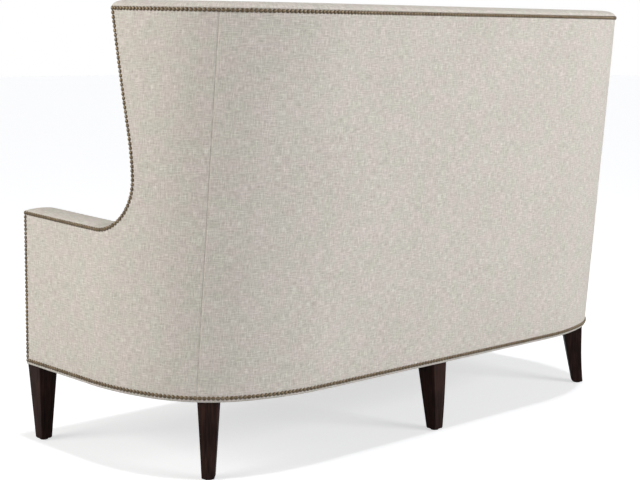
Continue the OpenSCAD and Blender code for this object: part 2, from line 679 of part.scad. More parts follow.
// Outside panels and dust cover
module outside_panel() intersection() {
    outer_band(0, cover_t, -1, seam_turn_deg);
    side_view() polygon(profile_pts(rim_lap, rim_lap, 0));
}
module outside_panel_left() placed() color(cloth) outside_panel();
module outside_panel_right() placed() color(cloth) mirror([1, 0, 0]) outside_panel();
module outside_back_panel() placed() color(cloth) intersection() {
    outer_arch(0, cover_t, seam_turn_deg);
    wall_zone();
}
module dust_cover() placed() color([0.12, 0.12, 0.13]) difference() {
    intersection() {
        side_view() polygon([[dust_in, base_z(dust_in) - seat_gap - dust_t], [far_y, base_z(far_y) - seat_gap - dust_t],
            [far_y, base_z(far_y) - seat_gap], [dust_in, base_z(dust_in) - seat_gap]]);
        outer_lean() polygon(floor_pts(dust_in));
    }
    for (l = LEGS) leg_frame(l) translate([-l[4] - leg_room, -l[3] / 2 - leg_room, 0])
        cube([l[4] - l[5] + 2 * leg_room, l[3] + 2 * leg_room, base_h + overrun]);
}

// Distance from a leg block's face to its bolt
bolt_in = 14;
// Legs: name, place of the outline beside the leg, turn, width, depth of the inner and the outer face
// at the top, run of the outer face to the foot, and depth of the bolt
leg_room = 1;
corner_pt = let (p = plan_pt(leg_turn_deg, 0)) [p[0], (p[1] + base_back_h * lean_sin) / lean_cos];
front_leg_y = front_leg_in + front_leg_top / 2;
front_foot_run = (front_leg_top - leg_foot) / 2;
bolt_post_x = rail_mid;
LEGS = [
    ["front_leg_left", [half_w, front_leg_y], 0, front_leg_top,
        front_leg_in + front_leg_top, front_leg_in, -front_foot_run, bolt_post_x],
    ["front_leg_right", [-half_w, front_leg_y], 180, front_leg_top,
        front_leg_in + front_leg_top, front_leg_in, -front_foot_run, bolt_post_x],
    ["front_leg_middle", [0, 0], -90, front_leg_top,
        front_leg_in + front_leg_top, front_leg_in, -front_foot_run, frame_front + frame_t / 2],
    ["back_leg_left", corner_pt, 45, back_leg_w,
        corner_leg_in + back_leg_d, corner_leg_in, corner_kick, pad_in + bolt_in],
    ["back_leg_right", [-corner_pt[0], corner_pt[1]], 135, back_leg_w,
        corner_leg_in + back_leg_d, corner_leg_in, corner_kick, pad_in + bolt_in],
    ["back_leg_middle", [0, base_d], 90, back_leg_w,
        middle_leg_in + back_leg_d, middle_leg_in, -middle_run, pad_in + bolt_in]
];
module leg_frame(l) translate([l[1][0], l[1][1], 0]) rotate([0, 0, l[2]]) children();
function turned(p, a) = [p[0] * cos(a) - p[1] * sin(a), p[0] * sin(a) + p[1] * cos(a)];
// Outer face of a leg at height z, as a depth behind the outline: back legs kick, front legs taper
function outer_face(l, z) = let (top = base_h - seat_gap,
    s = l[2] == 0 || l[2] == 180 || l[2] == -90 ? 1 - z / top : pow(max(0, 1 - z / kick_h), 2))
    -l[5] + l[6] * s;
function inner_face(l, z) = let (s = 1 - z / (base_h - seat_gap))
    -l[4] + s * (l[4] - l[5] + l[6] - leg_foot);
function leg_half_w(l, z) = (l[3] + (leg_foot - l[3]) * (1 - z / (base_h - seat_gap))) / 2;
leg_shares = [0.12, 0.26, 0.42, 0.63];
function leg_ring(l, z, c) = let (u0 = inner_face(l, z) + c, u1 = outer_face(l, z) - c, w = leg_half_w(l, z) - c)
    [for (q = [[u0, -w], [u1, -w], [u1, w], [u0, w]]) let (p = l[1] + turned(q, l[2])) [p[0], p[1], z]];
function leg_top_ring(l) = [for (p = leg_ring(l, base_h - seat_gap, 0)) [p[0], p[1], base_z(p[1]) - seat_gap]];
module leg(i) placed() color([0.17, 0.1, 0.08]) difference() {
    l = LEGS[i];
    loft(concat(
        [leg_ring(l, glide_t, foot_chamfer), leg_ring(l, glide_t + foot_chamfer, 0)],
        [for (s = leg_shares) leg_ring(l, s * base_h, 0)],
        [leg_top_ring(l)]));
    leg_bores();
}
module front_leg_left() leg(0);
module front_leg_right() leg(1);
module front_leg_middle() leg(2);
module back_leg_left() leg(3);
module back_leg_right() leg(4);
module back_leg_middle() leg(5);

// Hanger bolts join each leg to a post, a rail or a leg block
bolt_room = 0.15;
function bolt_pt(l) = l[1] + turned([-l[7], 0], l[2]);
module bolt_set(room) for (l = LEGS) let (p = bolt_pt(l))
    translate([p[0], p[1], base_z(p[1]) - bolt_half_l - room])
        cylinder(d = bolt_d + 2 * room, h = 2 * (bolt_half_l + room));
module leg_bores() bolt_set(bolt_room);
module hanger_bolts() placed() color(steel) bolt_set(0);
module leg_glides() placed() color([0.25, 0.25, 0.26]) for (l = LEGS) {
    u = (inner_face(l, glide_t) + outer_face(l, glide_t)) / 2;
    leg_frame(l) translate([u, 0, 0]) cylinder(d = glide_d, h = glide_t);
}

// Decorative nails, head to head
brass = [0.42, 0.34, 0.2];
nail_crown_share = 0.5;
module nail() translate([0, 0, seat_gap]) cylinder(d1 = nail_d, d2 = nail_crown_share * nail_d, h = nail_rise);
soft_len = soft_r * soft_turn_deg * PI / 180;
tight_len = tight_r * tight_turn_deg * PI / 180;
corner_len = c3[0] + 2 * soft_len + tight_len;
// Place and normal at a distance s along the outline, from the middle of the back
function outline_at(s) =
    s < c3[0] ? [s, back_l, 90] :
    s < c3[0] + soft_len ? on_arc(c3, soft_r, 90 - (s - c3[0]) / soft_r * 180 / PI) :
    s < c3[0] + soft_len + tight_len ?
        on_arc(c2, tight_r, 90 - soft_turn_deg - (s - c3[0] - soft_len) / tight_r * 180 / PI) :
    s < corner_len ?
        on_arc(c1, soft_r, soft_turn_deg - (s - c3[0] - soft_len - tight_len) / soft_r * 180 / PI) :
    [half_w, c1[1] - (s - corner_len), 0];
function on_arc(c, r, t) = [c[0] + r * cos(t), c[1] + r * sin(t), t];
// Height square to the lean of a point on the line z = a + b y
function lean_height(l, a, b) = (a + l * (b * lean_cos + lean_sin)) / (lean_cos - b * lean_sin);
module nail_on(x, l, h, t) rotate([-rake_deg, 0, 0]) translate([x, l, h]) rotate([0, 90, t]) nail();
module outline_nails(length, a, b) {
    n = floor(length / nail_pitch);
    nail_on(0, back_l, lean_height(back_l, a, b), 90);
    both_sides() for (i = [1:n]) let (p = outline_at(i * length / n)) nail_on(p[0], p[1], lean_height(p[1], a, b), p[2]);
}
bottom_front_l = front_row_in * lean_cos - (base_z(front_row_in) + bottom_row_up) * lean_sin;
module bottom_nails() placed() color(brass)
    outline_nails(corner_len + c1[1] - bottom_front_l, base_h + bottom_row_up, -tan(base_fall_deg));
top_front_l = fan_start[0] * lean_cos - fan_start[1] * lean_sin;
module top_nails() placed() color(brass)
    outline_nails(corner_len + c1[1] - top_front_l - nail_pitch,
        back_row_h + top_y * tan(top_fall_deg), -tan(top_fall_deg));
front_row_l = arm_z(front_row_in, 0) - base_z(front_row_in) - bottom_row_up;
arm_row_l = (arm_end_y - front_row_in) / cos(arm_fall_deg);
notch_len = notch_r * notch_turn_deg * PI / 180;
wing_len = wing_r * wing_lean_deg * PI / 180;
rim_len = arm_row_l + notch_len + wing_len + wing_run(0, 0);
// Place at a distance s along the arm top and up the wing
function rim_at(s) =
    s < arm_row_l ? let (y = front_row_in + s * cos(arm_fall_deg)) [y, arm_z(y, 0)] :
    s < arm_row_l + notch_len ?
        let (a = -notch_turn_deg + (s - arm_row_l) / notch_r * 180 / PI) notch_c + notch_r * [cos(a), sin(a)] :
    s < arm_row_l + notch_len + wing_len ?
        let (a = (s - arm_row_l - notch_len) / wing_r * 180 / PI) wing_c + wing_r * [cos(a), sin(a)] :
    wing_end(0) + (s - arm_row_l - notch_len - wing_len) * [-sin(wing_lean_deg), cos(wing_lean_deg)];
module rim_nail(p) {
    l = p[0] * lean_cos - p[1] * lean_sin;
    t = l <= c1[1] ? 0 : asin((l - c1[1]) / soft_r);
    nail_on(skin_x(l, 0), l, p[0] * lean_sin + p[1] * lean_cos, t);
}
module side_nails() placed() color(brass) both_sides() {
    n = floor(front_row_l / nail_pitch);
    for (i = [1:n - 1]) rim_nail([front_row_in, base_z(front_row_in) + bottom_row_up + i * front_row_l / n]);
    m = floor(rim_len / nail_pitch);
    for (i = [0:m]) rim_nail(rim_at(i * rim_len / m));
}

// Seat cushion: a boxed cushion with crowned faces, sides drawn in between its corners, and welts
welt_reach = (welt_r + 2 * seat_gap) / sqrt(2);
cushion_z = deck_h + seat_gap + max(cushion_belly, welt_r + welt_reach);
column_turn_shares = [0, 0.11, 0.22, 0.36, 0.5, 0.64, 0.78, 1];
column_turns = 90 * column_turn_shares;
middle_shares = [0.5, 0];
row_shares = [0, 0.06, 0.2, 0.42, 0.68, 0.9, 1];
// Plan of the cushion at height z and depth d behind the outside: x and the y of its back
function cushion_edge(t, d, z) = let (p = plan_pt(t, d), q = p[1] + inner_shift)
    [p[0], (q + (z - back_row_h) * in_sin) / in_cos];
function cushion_columns(d, z) = concat(
    [for (t = column_turns) cushion_edge(t, d, z)],
    [for (s = middle_shares) [s * c3[0], cushion_edge(90, d, z)[1]]],
    [for (i = [len(middle_shares) - 2:-1:0]) [-middle_shares[i] * c3[0], cushion_edge(90, d, z)[1]]],
    [for (t = reversed(column_turns)) let (p = cushion_edge(t, d, z)) [-p[0], p[1]]]);
// A point of the cushion: column i, share v from front to back, share w from underside to top seam
function cushion_pt(i, v, w, in, face) = let (
    d = wall_t + cushion_room + in,
    z = cushion_z + in + w * (cushion_t - 2 * in),
    cols = cushion_columns(d, z),
    c = cols[i],
    u = c[0] / cols[0][0],
    y0 = cushion_front + in,
    edge = (1 - pow(abs(u), 6)) * (1 - pow(abs(2 * v - 1), 4)),
    y = y0 + v * (c[1] - y0))
    [c[0] * (1 - cushion_draw * (1 - pow(2 * v - 1, 2)) / cols[0][0] * pow(abs(u), 3)),
     y + cushion_draw * (1 - u * u) * (1 - 2 * v),
     z + (face == 0 ? 0 : face > 0 ? cushion_crown * edge : -cushion_belly * edge)];
column_count = 2 * (len(column_turns) + len(middle_shares)) - 1;
row_count = len(row_shares);
// Seam line of the cushion as a ring of [column, row share]
seam_ring = concat(
    [for (i = [0:column_count - 1]) [i, 0]],
    [for (j = [1:row_count - 1]) [column_count - 1, row_shares[j]]],
    [for (i = [column_count - 2:-1:0]) [i, 1]],
    [for (j = [row_count - 2:-1:1]) [0, row_shares[j]]]);
module cushion_form(in) {
    m = row_count;
    n = column_count;
    r = len(seam_ring);
    top = [for (i = [0:n - 1]) for (v = row_shares) cushion_pt(i, v, 1, in, 1)];
    low = [for (i = [0:n - 1]) for (v = row_shares) cushion_pt(i, v, 0, in, -1)];
    mid = [for (s = seam_ring) cushion_pt(s[0], s[1], 0.5, in - cushion_side_bulge, 0)];
    function at(s) = s[0] * m + search(s[1], row_shares)[0];
    polyhedron(points = concat(top, low, mid), faces = concat(
        [for (i = [0:n - 2]) for (j = [0:m - 2]) for (h = [0, 1]) let (a = i * m + j)
            h == 0 ? [a, a + m + 1, a + 1] : [a, a + m, a + m + 1]],
        [for (i = [0:n - 2]) for (j = [0:m - 2]) for (h = [0, 1]) let (a = n * m + i * m + j)
            h == 0 ? [a, a + 1, a + m + 1] : [a, a + m + 1, a + m]],
        [for (k = [0:r - 1]) for (h = [0:3]) let (
            s = at(seam_ring[k]), e = at(seam_ring[(k + 1) % r]),
            b = 2 * n * m + k, c = 2 * n * m + (k + 1) % r)
            h == 0 ? [s, c, e] : h == 1 ? [s, b, c] : h == 2 ? [b, n * m + e, c] : [b, n * m + s, n * m + e]]));
}
// Outward bulge of the cushion's boxing at half its height
cushion_side_bulge = 2;
module cushion_cover() placed() color(cloth) difference() {
    cushion_form(0);
    cushion_form(cover_t);
}
module cushion_core() placed() color(foam) cushion_form(cover_t + seat_gap);
welt_sides = 6;
function heading(a, b) = let (d = [b[0] - a[0], b[1] - a[1]]) d / norm(d);
module welt(w, up) {
    line = [for (s = seam_ring) cushion_pt(s[0], s[1], w, 0, 0)];
    r = len(line);
    rings = [for (k = [0:r - 1]) let (
        p = line[k], a = line[(k + r - 1) % r], b = line[(k + 1) % r],
        d1 = heading(a, p), d2 = heading(p, b), t = (d1 + d2) / norm(d1 + d2),
        o = [-t[1], t[0]], mitre = welt_reach / (t * d1),
        c = p + [o[0] * mitre, o[1] * mitre, up * welt_reach])
        [for (s = [0:welt_sides - 1]) let (g = s * 360 / welt_sides)
            c + welt_r * [o[0] * cos(g), o[1] * cos(g), sin(g)]]];
    polyhedron(points = [for (q = rings) for (p = q) p],
        faces = [for (k = [0:r - 1]) for (s = [0:welt_sides - 1]) for (h = [0, 1]) let (
            a = k * welt_sides + s, b = k * welt_sides + (s + 1) % welt_sides,
            c = ((k + 1) % r) * welt_sides + s, d = ((k + 1) % r) * welt_sides + (s + 1) % welt_sides)
            h == 0 ? [a, d, b] : [a, c, d]]);
}
module cushion_welts() placed() color(cloth) {
    welt(1, 1);
    welt(0, -1);
}
zip_h = 6;
zip_t = 1;
zip_share = 0.9;
module cushion_zip() placed() color([0.5, 0.47, 0.42]) {
    cols = [for (i = [len(column_turns) - 1:len(column_turns) + 2 * len(middle_shares) - 1]) i];
    // The zip follows the middle of the back boxing, shortened by its share
    pts = [for (i = cols) let (p = cushion_pt(i, 1, 0.5, -cushion_side_bulge, 0)) [zip_share * p[0], p[1], p[2]]];
    // It leans with the boxing
    up = [0, tan(inside_lean_deg) * zip_h / 2, zip_h / 2];
    near = [0, seat_gap, 0];
    far = [0, seat_gap + zip_t, 0];
    loft([for (p = reversed(pts)) [p + near - up, p + far - up, p + far + up, p + near + up]]);
}

front_rail();
back_rail();
side_rails();
corner_rails();
cross_rails();
front_posts();
side_posts();
corner_posts();
back_posts();
arm_rails();
wing_posts();
wing_top_rails();
back_top_rail();
tack_rails();
corner_blocks();
block_screws();
leg_blocks();
seat_springs();
spring_clips();
spring_ties();
spring_cover();
deck_pad();
deck_cover();
front_border_pad();
arm_front_pads();
arm_front_covers();
arm_linings();
wing_linings();
corner_linings();
back_lining();
arm_pads();
wing_pads();
corner_pads();
back_pad();
inside_arm_covers();
inside_wing_covers();
inside_back_cover();
arm_rolls();
wing_rolls();
top_roll();
outside_panel_left();
outside_panel_right();
outside_back_panel();
dust_cover();
bottom_nails();
side_nails();
top_nails();
front_leg_left();
front_leg_middle();
front_leg_right();
back_leg_left();
back_leg_middle();
back_leg_right();
hanger_bolts();
leg_glides();
cushion_cover();
cushion_core();
cushion_welts();
cushion_zip();
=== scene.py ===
"""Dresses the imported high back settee: cloth, nails, legs, cushion and a plain studio.

Lengths inside the form helpers are millimetres in the frame whose Y starts at the arm fronts;
everything that reaches a mesh is metres in the model's own frame.
"""

import math

import bmesh
import bpy
import numpy as np
from mathutils import Matrix, Vector


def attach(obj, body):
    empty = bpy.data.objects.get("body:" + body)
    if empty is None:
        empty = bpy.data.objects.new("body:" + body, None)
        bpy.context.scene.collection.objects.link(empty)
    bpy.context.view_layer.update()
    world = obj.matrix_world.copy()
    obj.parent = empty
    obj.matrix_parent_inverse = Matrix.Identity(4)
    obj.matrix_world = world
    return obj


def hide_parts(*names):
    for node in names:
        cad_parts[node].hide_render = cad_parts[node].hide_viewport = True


bl_info = {
    "name": "High back settee",
    "version": (1, 0, 0),
    "blender": (4, 5, 0),
    "location": "View3D > Sidebar > Settee",
    "description": "Cloth, nail heads, legs and cushion for a high back settee",
    "category": "Object",
}

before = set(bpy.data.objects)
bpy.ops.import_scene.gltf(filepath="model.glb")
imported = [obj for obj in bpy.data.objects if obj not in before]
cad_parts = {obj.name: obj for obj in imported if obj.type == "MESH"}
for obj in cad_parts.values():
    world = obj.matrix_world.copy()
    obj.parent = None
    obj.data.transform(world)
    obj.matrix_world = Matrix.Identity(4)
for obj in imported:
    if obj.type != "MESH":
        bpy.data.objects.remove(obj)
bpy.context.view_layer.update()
MM = 0.001
SIDES = ((1, "left"), (-1, "right"))
QUARTER = math.pi / 2


# ---------------------------------------------------------------- properties
def length(name, description, default, low, high):
    """A length in metres that a user may change."""
    return bpy.props.FloatProperty(
        name=name, description=description, default=default, min=low, max=high, unit="LENGTH", precision=4
    )


def colour(name, description, default):
    """A colour that a user may change."""
    return bpy.props.FloatVectorProperty(
        name=name, description=description, default=default, size=3, min=0, max=1, subtype="COLOR"
    )


def level(name, description, default, high, unit="NONE"):
    """A strength that a user may change."""
    return bpy.props.FloatProperty(name=name, description=description, default=default, min=0, max=high, unit=unit)


class SETTEE_PG_cloth(bpy.types.PropertyGroup):
    """The cover cloth."""

    dark: colour("Dark threads", "Colour of the darker threads", (0.40, 0.362, 0.325))
    light: colour("Light threads", "Colour of the lighter threads", (0.80, 0.764, 0.722))
    slub_light: colour("Slubs", "Colour of the thicker places in the threads", (0.86, 0.84, 0.79))
    thread: length("Thread", "Distance between threads of the weave", 0.0024, 0.0008, 0.006)
    slub: length("Slub length", "Length of the thicker places in the threads", 0.022, 0.004, 0.05)
    seam_dip: length("Seam dip", "Depth to which the cloth turns in at a seam", 0.0022, 0, 0.006)


class SETTEE_PG_nails(bpy.types.PropertyGroup):
    """The decorative nails."""

    head: length("Head", "Diameter of a nail head", 0.0108, 0.008, 0.0112)
    rise: length("Rise", "Rise of a nail head over the cloth", 0.0036, 0.002, 0.005)
    metal: colour("Metal", "Colour of the aged brass", (0.125, 0.092, 0.058))


class SETTEE_PG_wood(bpy.types.PropertyGroup):
    """The legs' wood."""

    stain: colour("Stain", "Colour of the stained wood", (0.0045, 0.0026, 0.0021))
    grain: colour("Grain", "Colour between the dark grain lines", (0.040, 0.0185, 0.0140))
    edge: length("Edge", "Radius of the leg's edges", 0.0018, 0.0005, 0.004)


class SETTEE_PG_cushion(bpy.types.PropertyGroup):
    """The seat cushion."""

    crown: length("Crown", "Rise of the cushion's top above its seams", 0.017, 0, 0.03)
    pucker: length("Pucker", "Depth of the gathers along the seams", 0.0011, 0, 0.004)
    swell: length("Swell", "Furthest that the filling moves the cloth", 0.005, 0.001, 0.008)


class SETTEE_PG_stage(bpy.types.PropertyGroup):
    """The studio."""

    horizon: level("Horizon", "Level of the light from the horizon", 1.08, 3)
    overhead: level("Overhead", "Level of the light from straight above", 0.06, 3)
    side_watts: level("Side lamps", "Power of the left lamp; the right lamp follows it", 92, 900, "POWER")
    top_light: level("Top light", "Strength of the light that throws the shadow on the floor", 1.3, 5)
    floor_glow: level("Floor glow", "Level added to the floor as the camera sees it", 0.61, 1)


class SETTEE_PG_all(bpy.types.PropertyGroup):
    """Everything that can be changed."""

    cloth: bpy.props.PointerProperty(type=SETTEE_PG_cloth, name="Cloth")
    nails: bpy.props.PointerProperty(type=SETTEE_PG_nails, name="Nails")
    wood: bpy.props.PointerProperty(type=SETTEE_PG_wood, name="Wood")
    cushion: bpy.props.PointerProperty(type=SETTEE_PG_cushion, name="Cushion")
    stage: bpy.props.PointerProperty(type=SETTEE_PG_stage, name="Stage")


def settings():
    """The property groups of this scene."""
    return bpy.context.scene.settee


# ---------------------------------------------------------------- the form, as in the part's source
HALF_W = 888.0
BASE_D = 729.5
BASE_H = 209.0
BASE_FALL = math.tan(math.radians(1.0))
BACK_ROW_H = 1154.5
RAKE = math.radians(5.8)
SOFT_R = 640.0
TIGHT_R = 288.0
SOFT_TURN = math.radians(19.4)
SEAM_TURN = math.radians(43)
LEG_TURN = math.radians(48.5)
ARM_ROW_H = 623.5
ARM_FALL = math.radians(2.35)
NOTCH_BACK = 481.0
NOTCH_R = 139.0
WING_R = 674.0
WING_LEAN = math.radians(9.5)
TOP_FALL = math.radians(1.62)
WALL_T = 92.0
INSIDE_LEAN = math.radians(11)
ARM_RISE = 12.0
TOP_RISE = 21.5
NAIL_RISE = 3.6
RIM_LAP = 4.0
GAP = 0.3
DECK_H = 350.0
DECK_LAP = 20.0
CLOTH_T = 1.6
LS, LC = math.sin(RAKE), math.cos(RAKE)
IS, IC = math.sin(INSIDE_LEAN), math.cos(INSIDE_LEAN)
BASE_LINE = (BASE_H, -BASE_FALL)


def ray(t):
    """Unit vector at angle t."""
    return np.array([math.cos(t), math.sin(t)])


def base_z(y):
    """Height of the settee's lower edge."""
    return BASE_H - y * BASE_FALL


BACK_L = BASE_D * LC - base_z(BASE_D) * LS
SOFT_COS, SOFT_SIN = math.cos(SOFT_TURN), math.sin(SOFT_TURN)
REACH = SOFT_R * (1 - SOFT_COS + SOFT_SIN) + TIGHT_R * (SOFT_COS - SOFT_SIN)
C1 = np.array([HALF_W - SOFT_R, BACK_L - REACH])
C2 = C1 + (SOFT_R - TIGHT_R) * ray(SOFT_TURN)
C3 = C2 - (SOFT_R - TIGHT_R) * ray(SOFT_TURN)[::-1]
SOFT_LEN = SOFT_R * SOFT_TURN
TIGHT_LEN = TIGHT_R * (QUARTER - 2 * SOFT_TURN)
CORNER_LEN = C3[0] + 2 * SOFT_LEN + TIGHT_LEN
SEAM_S = C3[0] + SOFT_LEN + TIGHT_R * (QUARTER - SOFT_TURN - SEAM_TURN)
TOP_Y = (BACK_L + BACK_ROW_H * LS) / LC
OVERALL_D = TOP_Y + (NAIL_RISE + GAP) * LC
INNER_SHIFT = (TOP_Y - WALL_T / LC) * IC + WALL_T - BACK_L


def arm_line(e=0.0):
    """The line z = a + b y along the arm's nails, raised by e."""
    return ARM_ROW_H + e / math.cos(ARM_FALL), -math.tan(ARM_FALL)


def top_line(e=0.0):
    """The line z = a + b y along the top's nails, raised by e."""
    return BACK_ROW_H + TOP_Y * math.tan(TOP_FALL) + e / math.cos(TOP_FALL), -math.tan(TOP_FALL)


def arm_z(y, e=0.0):
    a, b = arm_line(e)
    return a + b * y


def top_z(y, e=0.0):
    a, b = top_line(e)
    return a + b * y


def outer_y(l, z):
    """Y of a plan point of the outside at height z."""
    return (l + z * LS) / LC


def outer_l(y, z):
    """Plan depth of a point of the outside."""
    return y * LC - z * LS


def inner_y(l, z):
    """Y of a plan point of the inside at height z."""
    return (l + INNER_SHIFT + (z - BACK_ROW_H) * IS) / IC


def inner_l(y, z):
    """Plan depth of a point of the inside."""
    return y * IC - (z - BACK_ROW_H) * IS - INNER_SHIFT


def line_height(l, line, outer=True):
    """Height at which a plan point's line meets z = a + b y."""
    a, b = line
    shift, s, c = (0.0, LS, LC) if outer else (INNER_SHIFT - BACK_ROW_H * IS, IS, IC)
    return (a + b * (l + shift) / c) / (1 - b * s / c)


def plan(t, d):
    """Plan point of the corner whose outward normal is at angle t, at depth d."""
    if t <= SOFT_TURN:
        return C1 + (SOFT_R - d) * ray(t)
    if t <= QUARTER - SOFT_TURN:
        return C2 + (TIGHT_R - d) * ray(t)
    return C3 + (SOFT_R - d) * ray(t)


def round_outline(s, d=0.0):
    """Plan point and normal angle at a distance s along the outside from the middle of the back, either way."""
    a = abs(s)
    run = a - C3[0]
    if run < 0:
        x, l, t = a, BACK_L - d, QUARTER
    elif a < CORNER_LEN:
        if run < SOFT_LEN:
            t = QUARTER - run / SOFT_R
        elif run < SOFT_LEN + TIGHT_LEN:
            t = QUARTER - SOFT_TURN - (run - SOFT_LEN) / TIGHT_R
        else:
            t = SOFT_TURN - (run - SOFT_LEN - TIGHT_LEN) / SOFT_R
        x, l = plan(t, d)
    else:
        x, l, t = HALF_W - d, C1[1] - (a - CORNER_LEN), 0.0
    return (x, l, t) if s >= 0 else (-x, l, math.pi - t)


def side_x(l, d=0.0):
    """Distance of the side or corner from the middle plane at plan depth l, at depth d behind the outside."""
    if l <= C1[1]:
        return HALF_W - d
    for c, r, end in ((C1, SOFT_R, SOFT_TURN), (C2, TIGHT_R, QUARTER - SOFT_TURN), (C3, SOFT_R, math.pi)):
        k = (l - c[1]) / (r - d)
        if k <= 1 and math.asin(k) <= end:
            return c[0] + (r - d) * math.cos(math.asin(k))
    return C3[0]


def side_turn(l):
    """Angle of the side's outward normal at plan depth l."""
    return 0.0 if l <= C1[1] else math.asin(min(1.0, (l - C1[1]) / SOFT_R))


NOTCH_Y = NOTCH_BACK - NOTCH_R
ARM_END = NOTCH_Y - NOTCH_R * math.sin(ARM_FALL)
NOTCH_C = np.array([NOTCH_Y, arm_z(ARM_END) + NOTCH_R * math.cos(ARM_FALL)])
NOTCH_TURN = QUARTER + ARM_FALL
NOTCH_LEN = NOTCH_R * NOTCH_TURN
WING_C = np.array([NOTCH_BACK - WING_R, NOTCH_C[1]])
WING_LEN = WING_R * WING_LEAN
WING_DIR = np.array([-math.sin(WING_LEAN), math.cos(WING_LEAN)])


def wing_end(e):
    """Where the wing's curve goes over into its straight, e off the nails' line."""
    return WING_C + (WING_R - e) * ray(WING_LEAN)


def wing_run(e=0.0):
    """Length of the wing's straight, e off the nails' line, up to the top's line raised by e."""
    w = wing_end(e)
    return (top_z(w[0], e) - w[1]) / (math.cos(WING_LEAN) - math.tan(TOP_FALL) * math.sin(WING_LEAN))


WING_TIP = wing_end(0) + wing_run() * WING_DIR
TIP_L = outer_l(*WING_TIP)


def rounded_tip(p, e):
    """Keeps a point of the side within a distance e of the wing's top front corner, where it lies beyond it."""
    v = np.asarray(p, float) - WING_TIP
    turn = math.atan2(v[1], v[0]) % (2 * math.pi)
    far = np.linalg.norm(v)
    if far <= e or not QUARTER - TOP_FALL < turn < math.pi + WING_LEAN:
        return p
    return tuple(WING_TIP + v * e / far)


def wing_edge(share, e=0.0):
    """Point (y, z) of the notch and the wing's front edge, and its outward angle; share 0 at the arm, 1 on top."""
    s = share * (NOTCH_LEN + WING_LEN + wing_run(e))
    if s < NOTCH_LEN:
        a = -NOTCH_TURN + s / NOTCH_R
        return NOTCH_C + (NOTCH_R - e) * ray(a), a + math.pi
    if s < NOTCH_LEN + WING_LEN:
        a = (s - NOTCH_LEN) / WING_R
        return WING_C + (WING_R - e) * ray(a), a + math.pi
    return wing_end(e) + (s - NOTCH_LEN - WING_LEN) * WING_DIR, WING_LEAN + math.pi


def smooth(x):
    x = np.clip(x, 0.0, 1.0)
    return x * x * (3 - 2 * x)


def ripple(u, v, seed=0.0):
    """A soft, repeatable unevenness between -1 and 1 over a surface, u and v in millimetres."""
    return (
        0.42 * np.sin(u / 87.0 + 1.3 * seed + 0.9 * np.sin(v / 131.0 + seed))
        + 0.33 * np.sin(v / 73.0 - u / 151.0 + 2.1 * seed)
        + 0.25 * np.sin((u + v) / 47.0 + 0.7 * seed + np.sin(u / 211.0))
    )


# ---------------------------------------------------------------- mesh making
def to_frame(points, side=1):
    """Millimetres from the arm fronts to metres in the model's frame; side -1 mirrors them."""
    p = np.array(points, float)
    p[..., 0] *= side
    p[..., 1] -= OVERALL_D / 2
    return p * MM


def walked(points):
    """Distance walked along a line of points, from 0."""
    return np.concatenate([[0], np.cumsum(np.linalg.norm(np.diff(points, axis=0), axis=1))])


def between(end, steps, inner, count):
    """Places from -end to end: at the given steps from both ends, then even from inner on."""
    steps = np.array(steps)
    return np.concatenate([steps - end, np.linspace(inner - end, end - inner, count), end - steps[::-1]])


def new_piece(name, verts, faces, uvs=None, smooth_shade=True):
    """A mesh object from points in metres; uvs holds one pair for each face corner, in metres of cloth."""
    mesh = bpy.data.meshes.new(name)
    mesh.from_pydata([tuple(v) for v in verts], [], [tuple(f) for f in faces])
    if uvs is not None:
        layer = mesh.uv_layers.new(name="weave")
        flat = np.concatenate([np.asarray(u, float).ravel() for u in uvs])
        layer.uv.foreach_set("vector", flat.astype(np.float32))
    mesh.validate()
    mesh.polygons.foreach_set("use_smooth", [smooth_shade] * len(mesh.polygons))
    mesh.update()
    piece = bpy.data.objects.new(name, mesh)
    bpy.context.scene.collection.objects.link(piece)
    return piece


def grid_faces(m, n, start=0, wrap=False):
    """Quads over an m by n grid of points, and the grid places of their corners."""
    faces, places = [], []
    for i in range(m - 1):
        for j in range(n if wrap else n - 1):
            k = (j + 1) % n
            faces.append((start + i * n + j, start + (i + 1) * n + j, start + (i + 1) * n + k, start + i * n + k))
            places.append(((i, j), (i + 1, j), (i + 1, j + 1), (i, j + 1)))
    return faces, places


def cloth_shell(name, outer, inner, uv):
    """A closed skin between two grids of the same shape, with its edges turned over."""
    m, n = outer.shape[:2]
    verts = np.concatenate([outer.reshape(-1, 3), inner.reshape(-1, 3)])
    faces, places = grid_faces(m, n)
    uvs = [[uv[p] for p in q] for q in places]
    back = m * n
    faces += [tuple(back + v for v in f[::-1]) for f in faces]
    uvs += [u[::-1] for u in uvs]
    rim = (
        [(0, j) for j in range(n)] + [(i, n - 1) for i in range(1, m)]
        + [(m - 1, j) for j in range(n - 2, -1, -1)] + [(i, 0) for i in range(m - 2, 0, -1)]
    )
    for a, b in zip(rim, rim[1:] + rim[:1]):
        ia, ib = a[0] * n + a[1], b[0] * n + b[1]
        faces.append((ia, ib, back + ib, back + ia))
        uvs.append([uv[a], uv[b], uv[b], uv[a]])
    return new_piece(name, verts, faces, uvs)


def swept(name, rings, uv, closed=False):
    """A solid through closed rings of points, with flat ends unless the sweep is closed."""
    m, n = rings.shape[:2]
    faces, places = grid_faces(m + closed, n, wrap=True)
    uvs = [[uv[p] for p in q] for q in places]
    if closed:
        faces = [tuple(v % (m * n) for v in f) for f in faces]
    else:
        faces += [tuple(range(n))[::-1], tuple(range((m - 1) * n, m * n))]
        uvs += [[uv[0, j] for j in range(n)][::-1], [uv[m - 1, j] for j in range(n)]]
    return new_piece(name, rings.reshape(-1, 3), faces, uvs)


def worked(mesh, work):
    """Does some work on a mesh in edit form."""
    bm = bmesh.new()
    bm.from_mesh(mesh)
    work(bm)
    bm.to_mesh(mesh)
    bm.free()
    mesh.update()


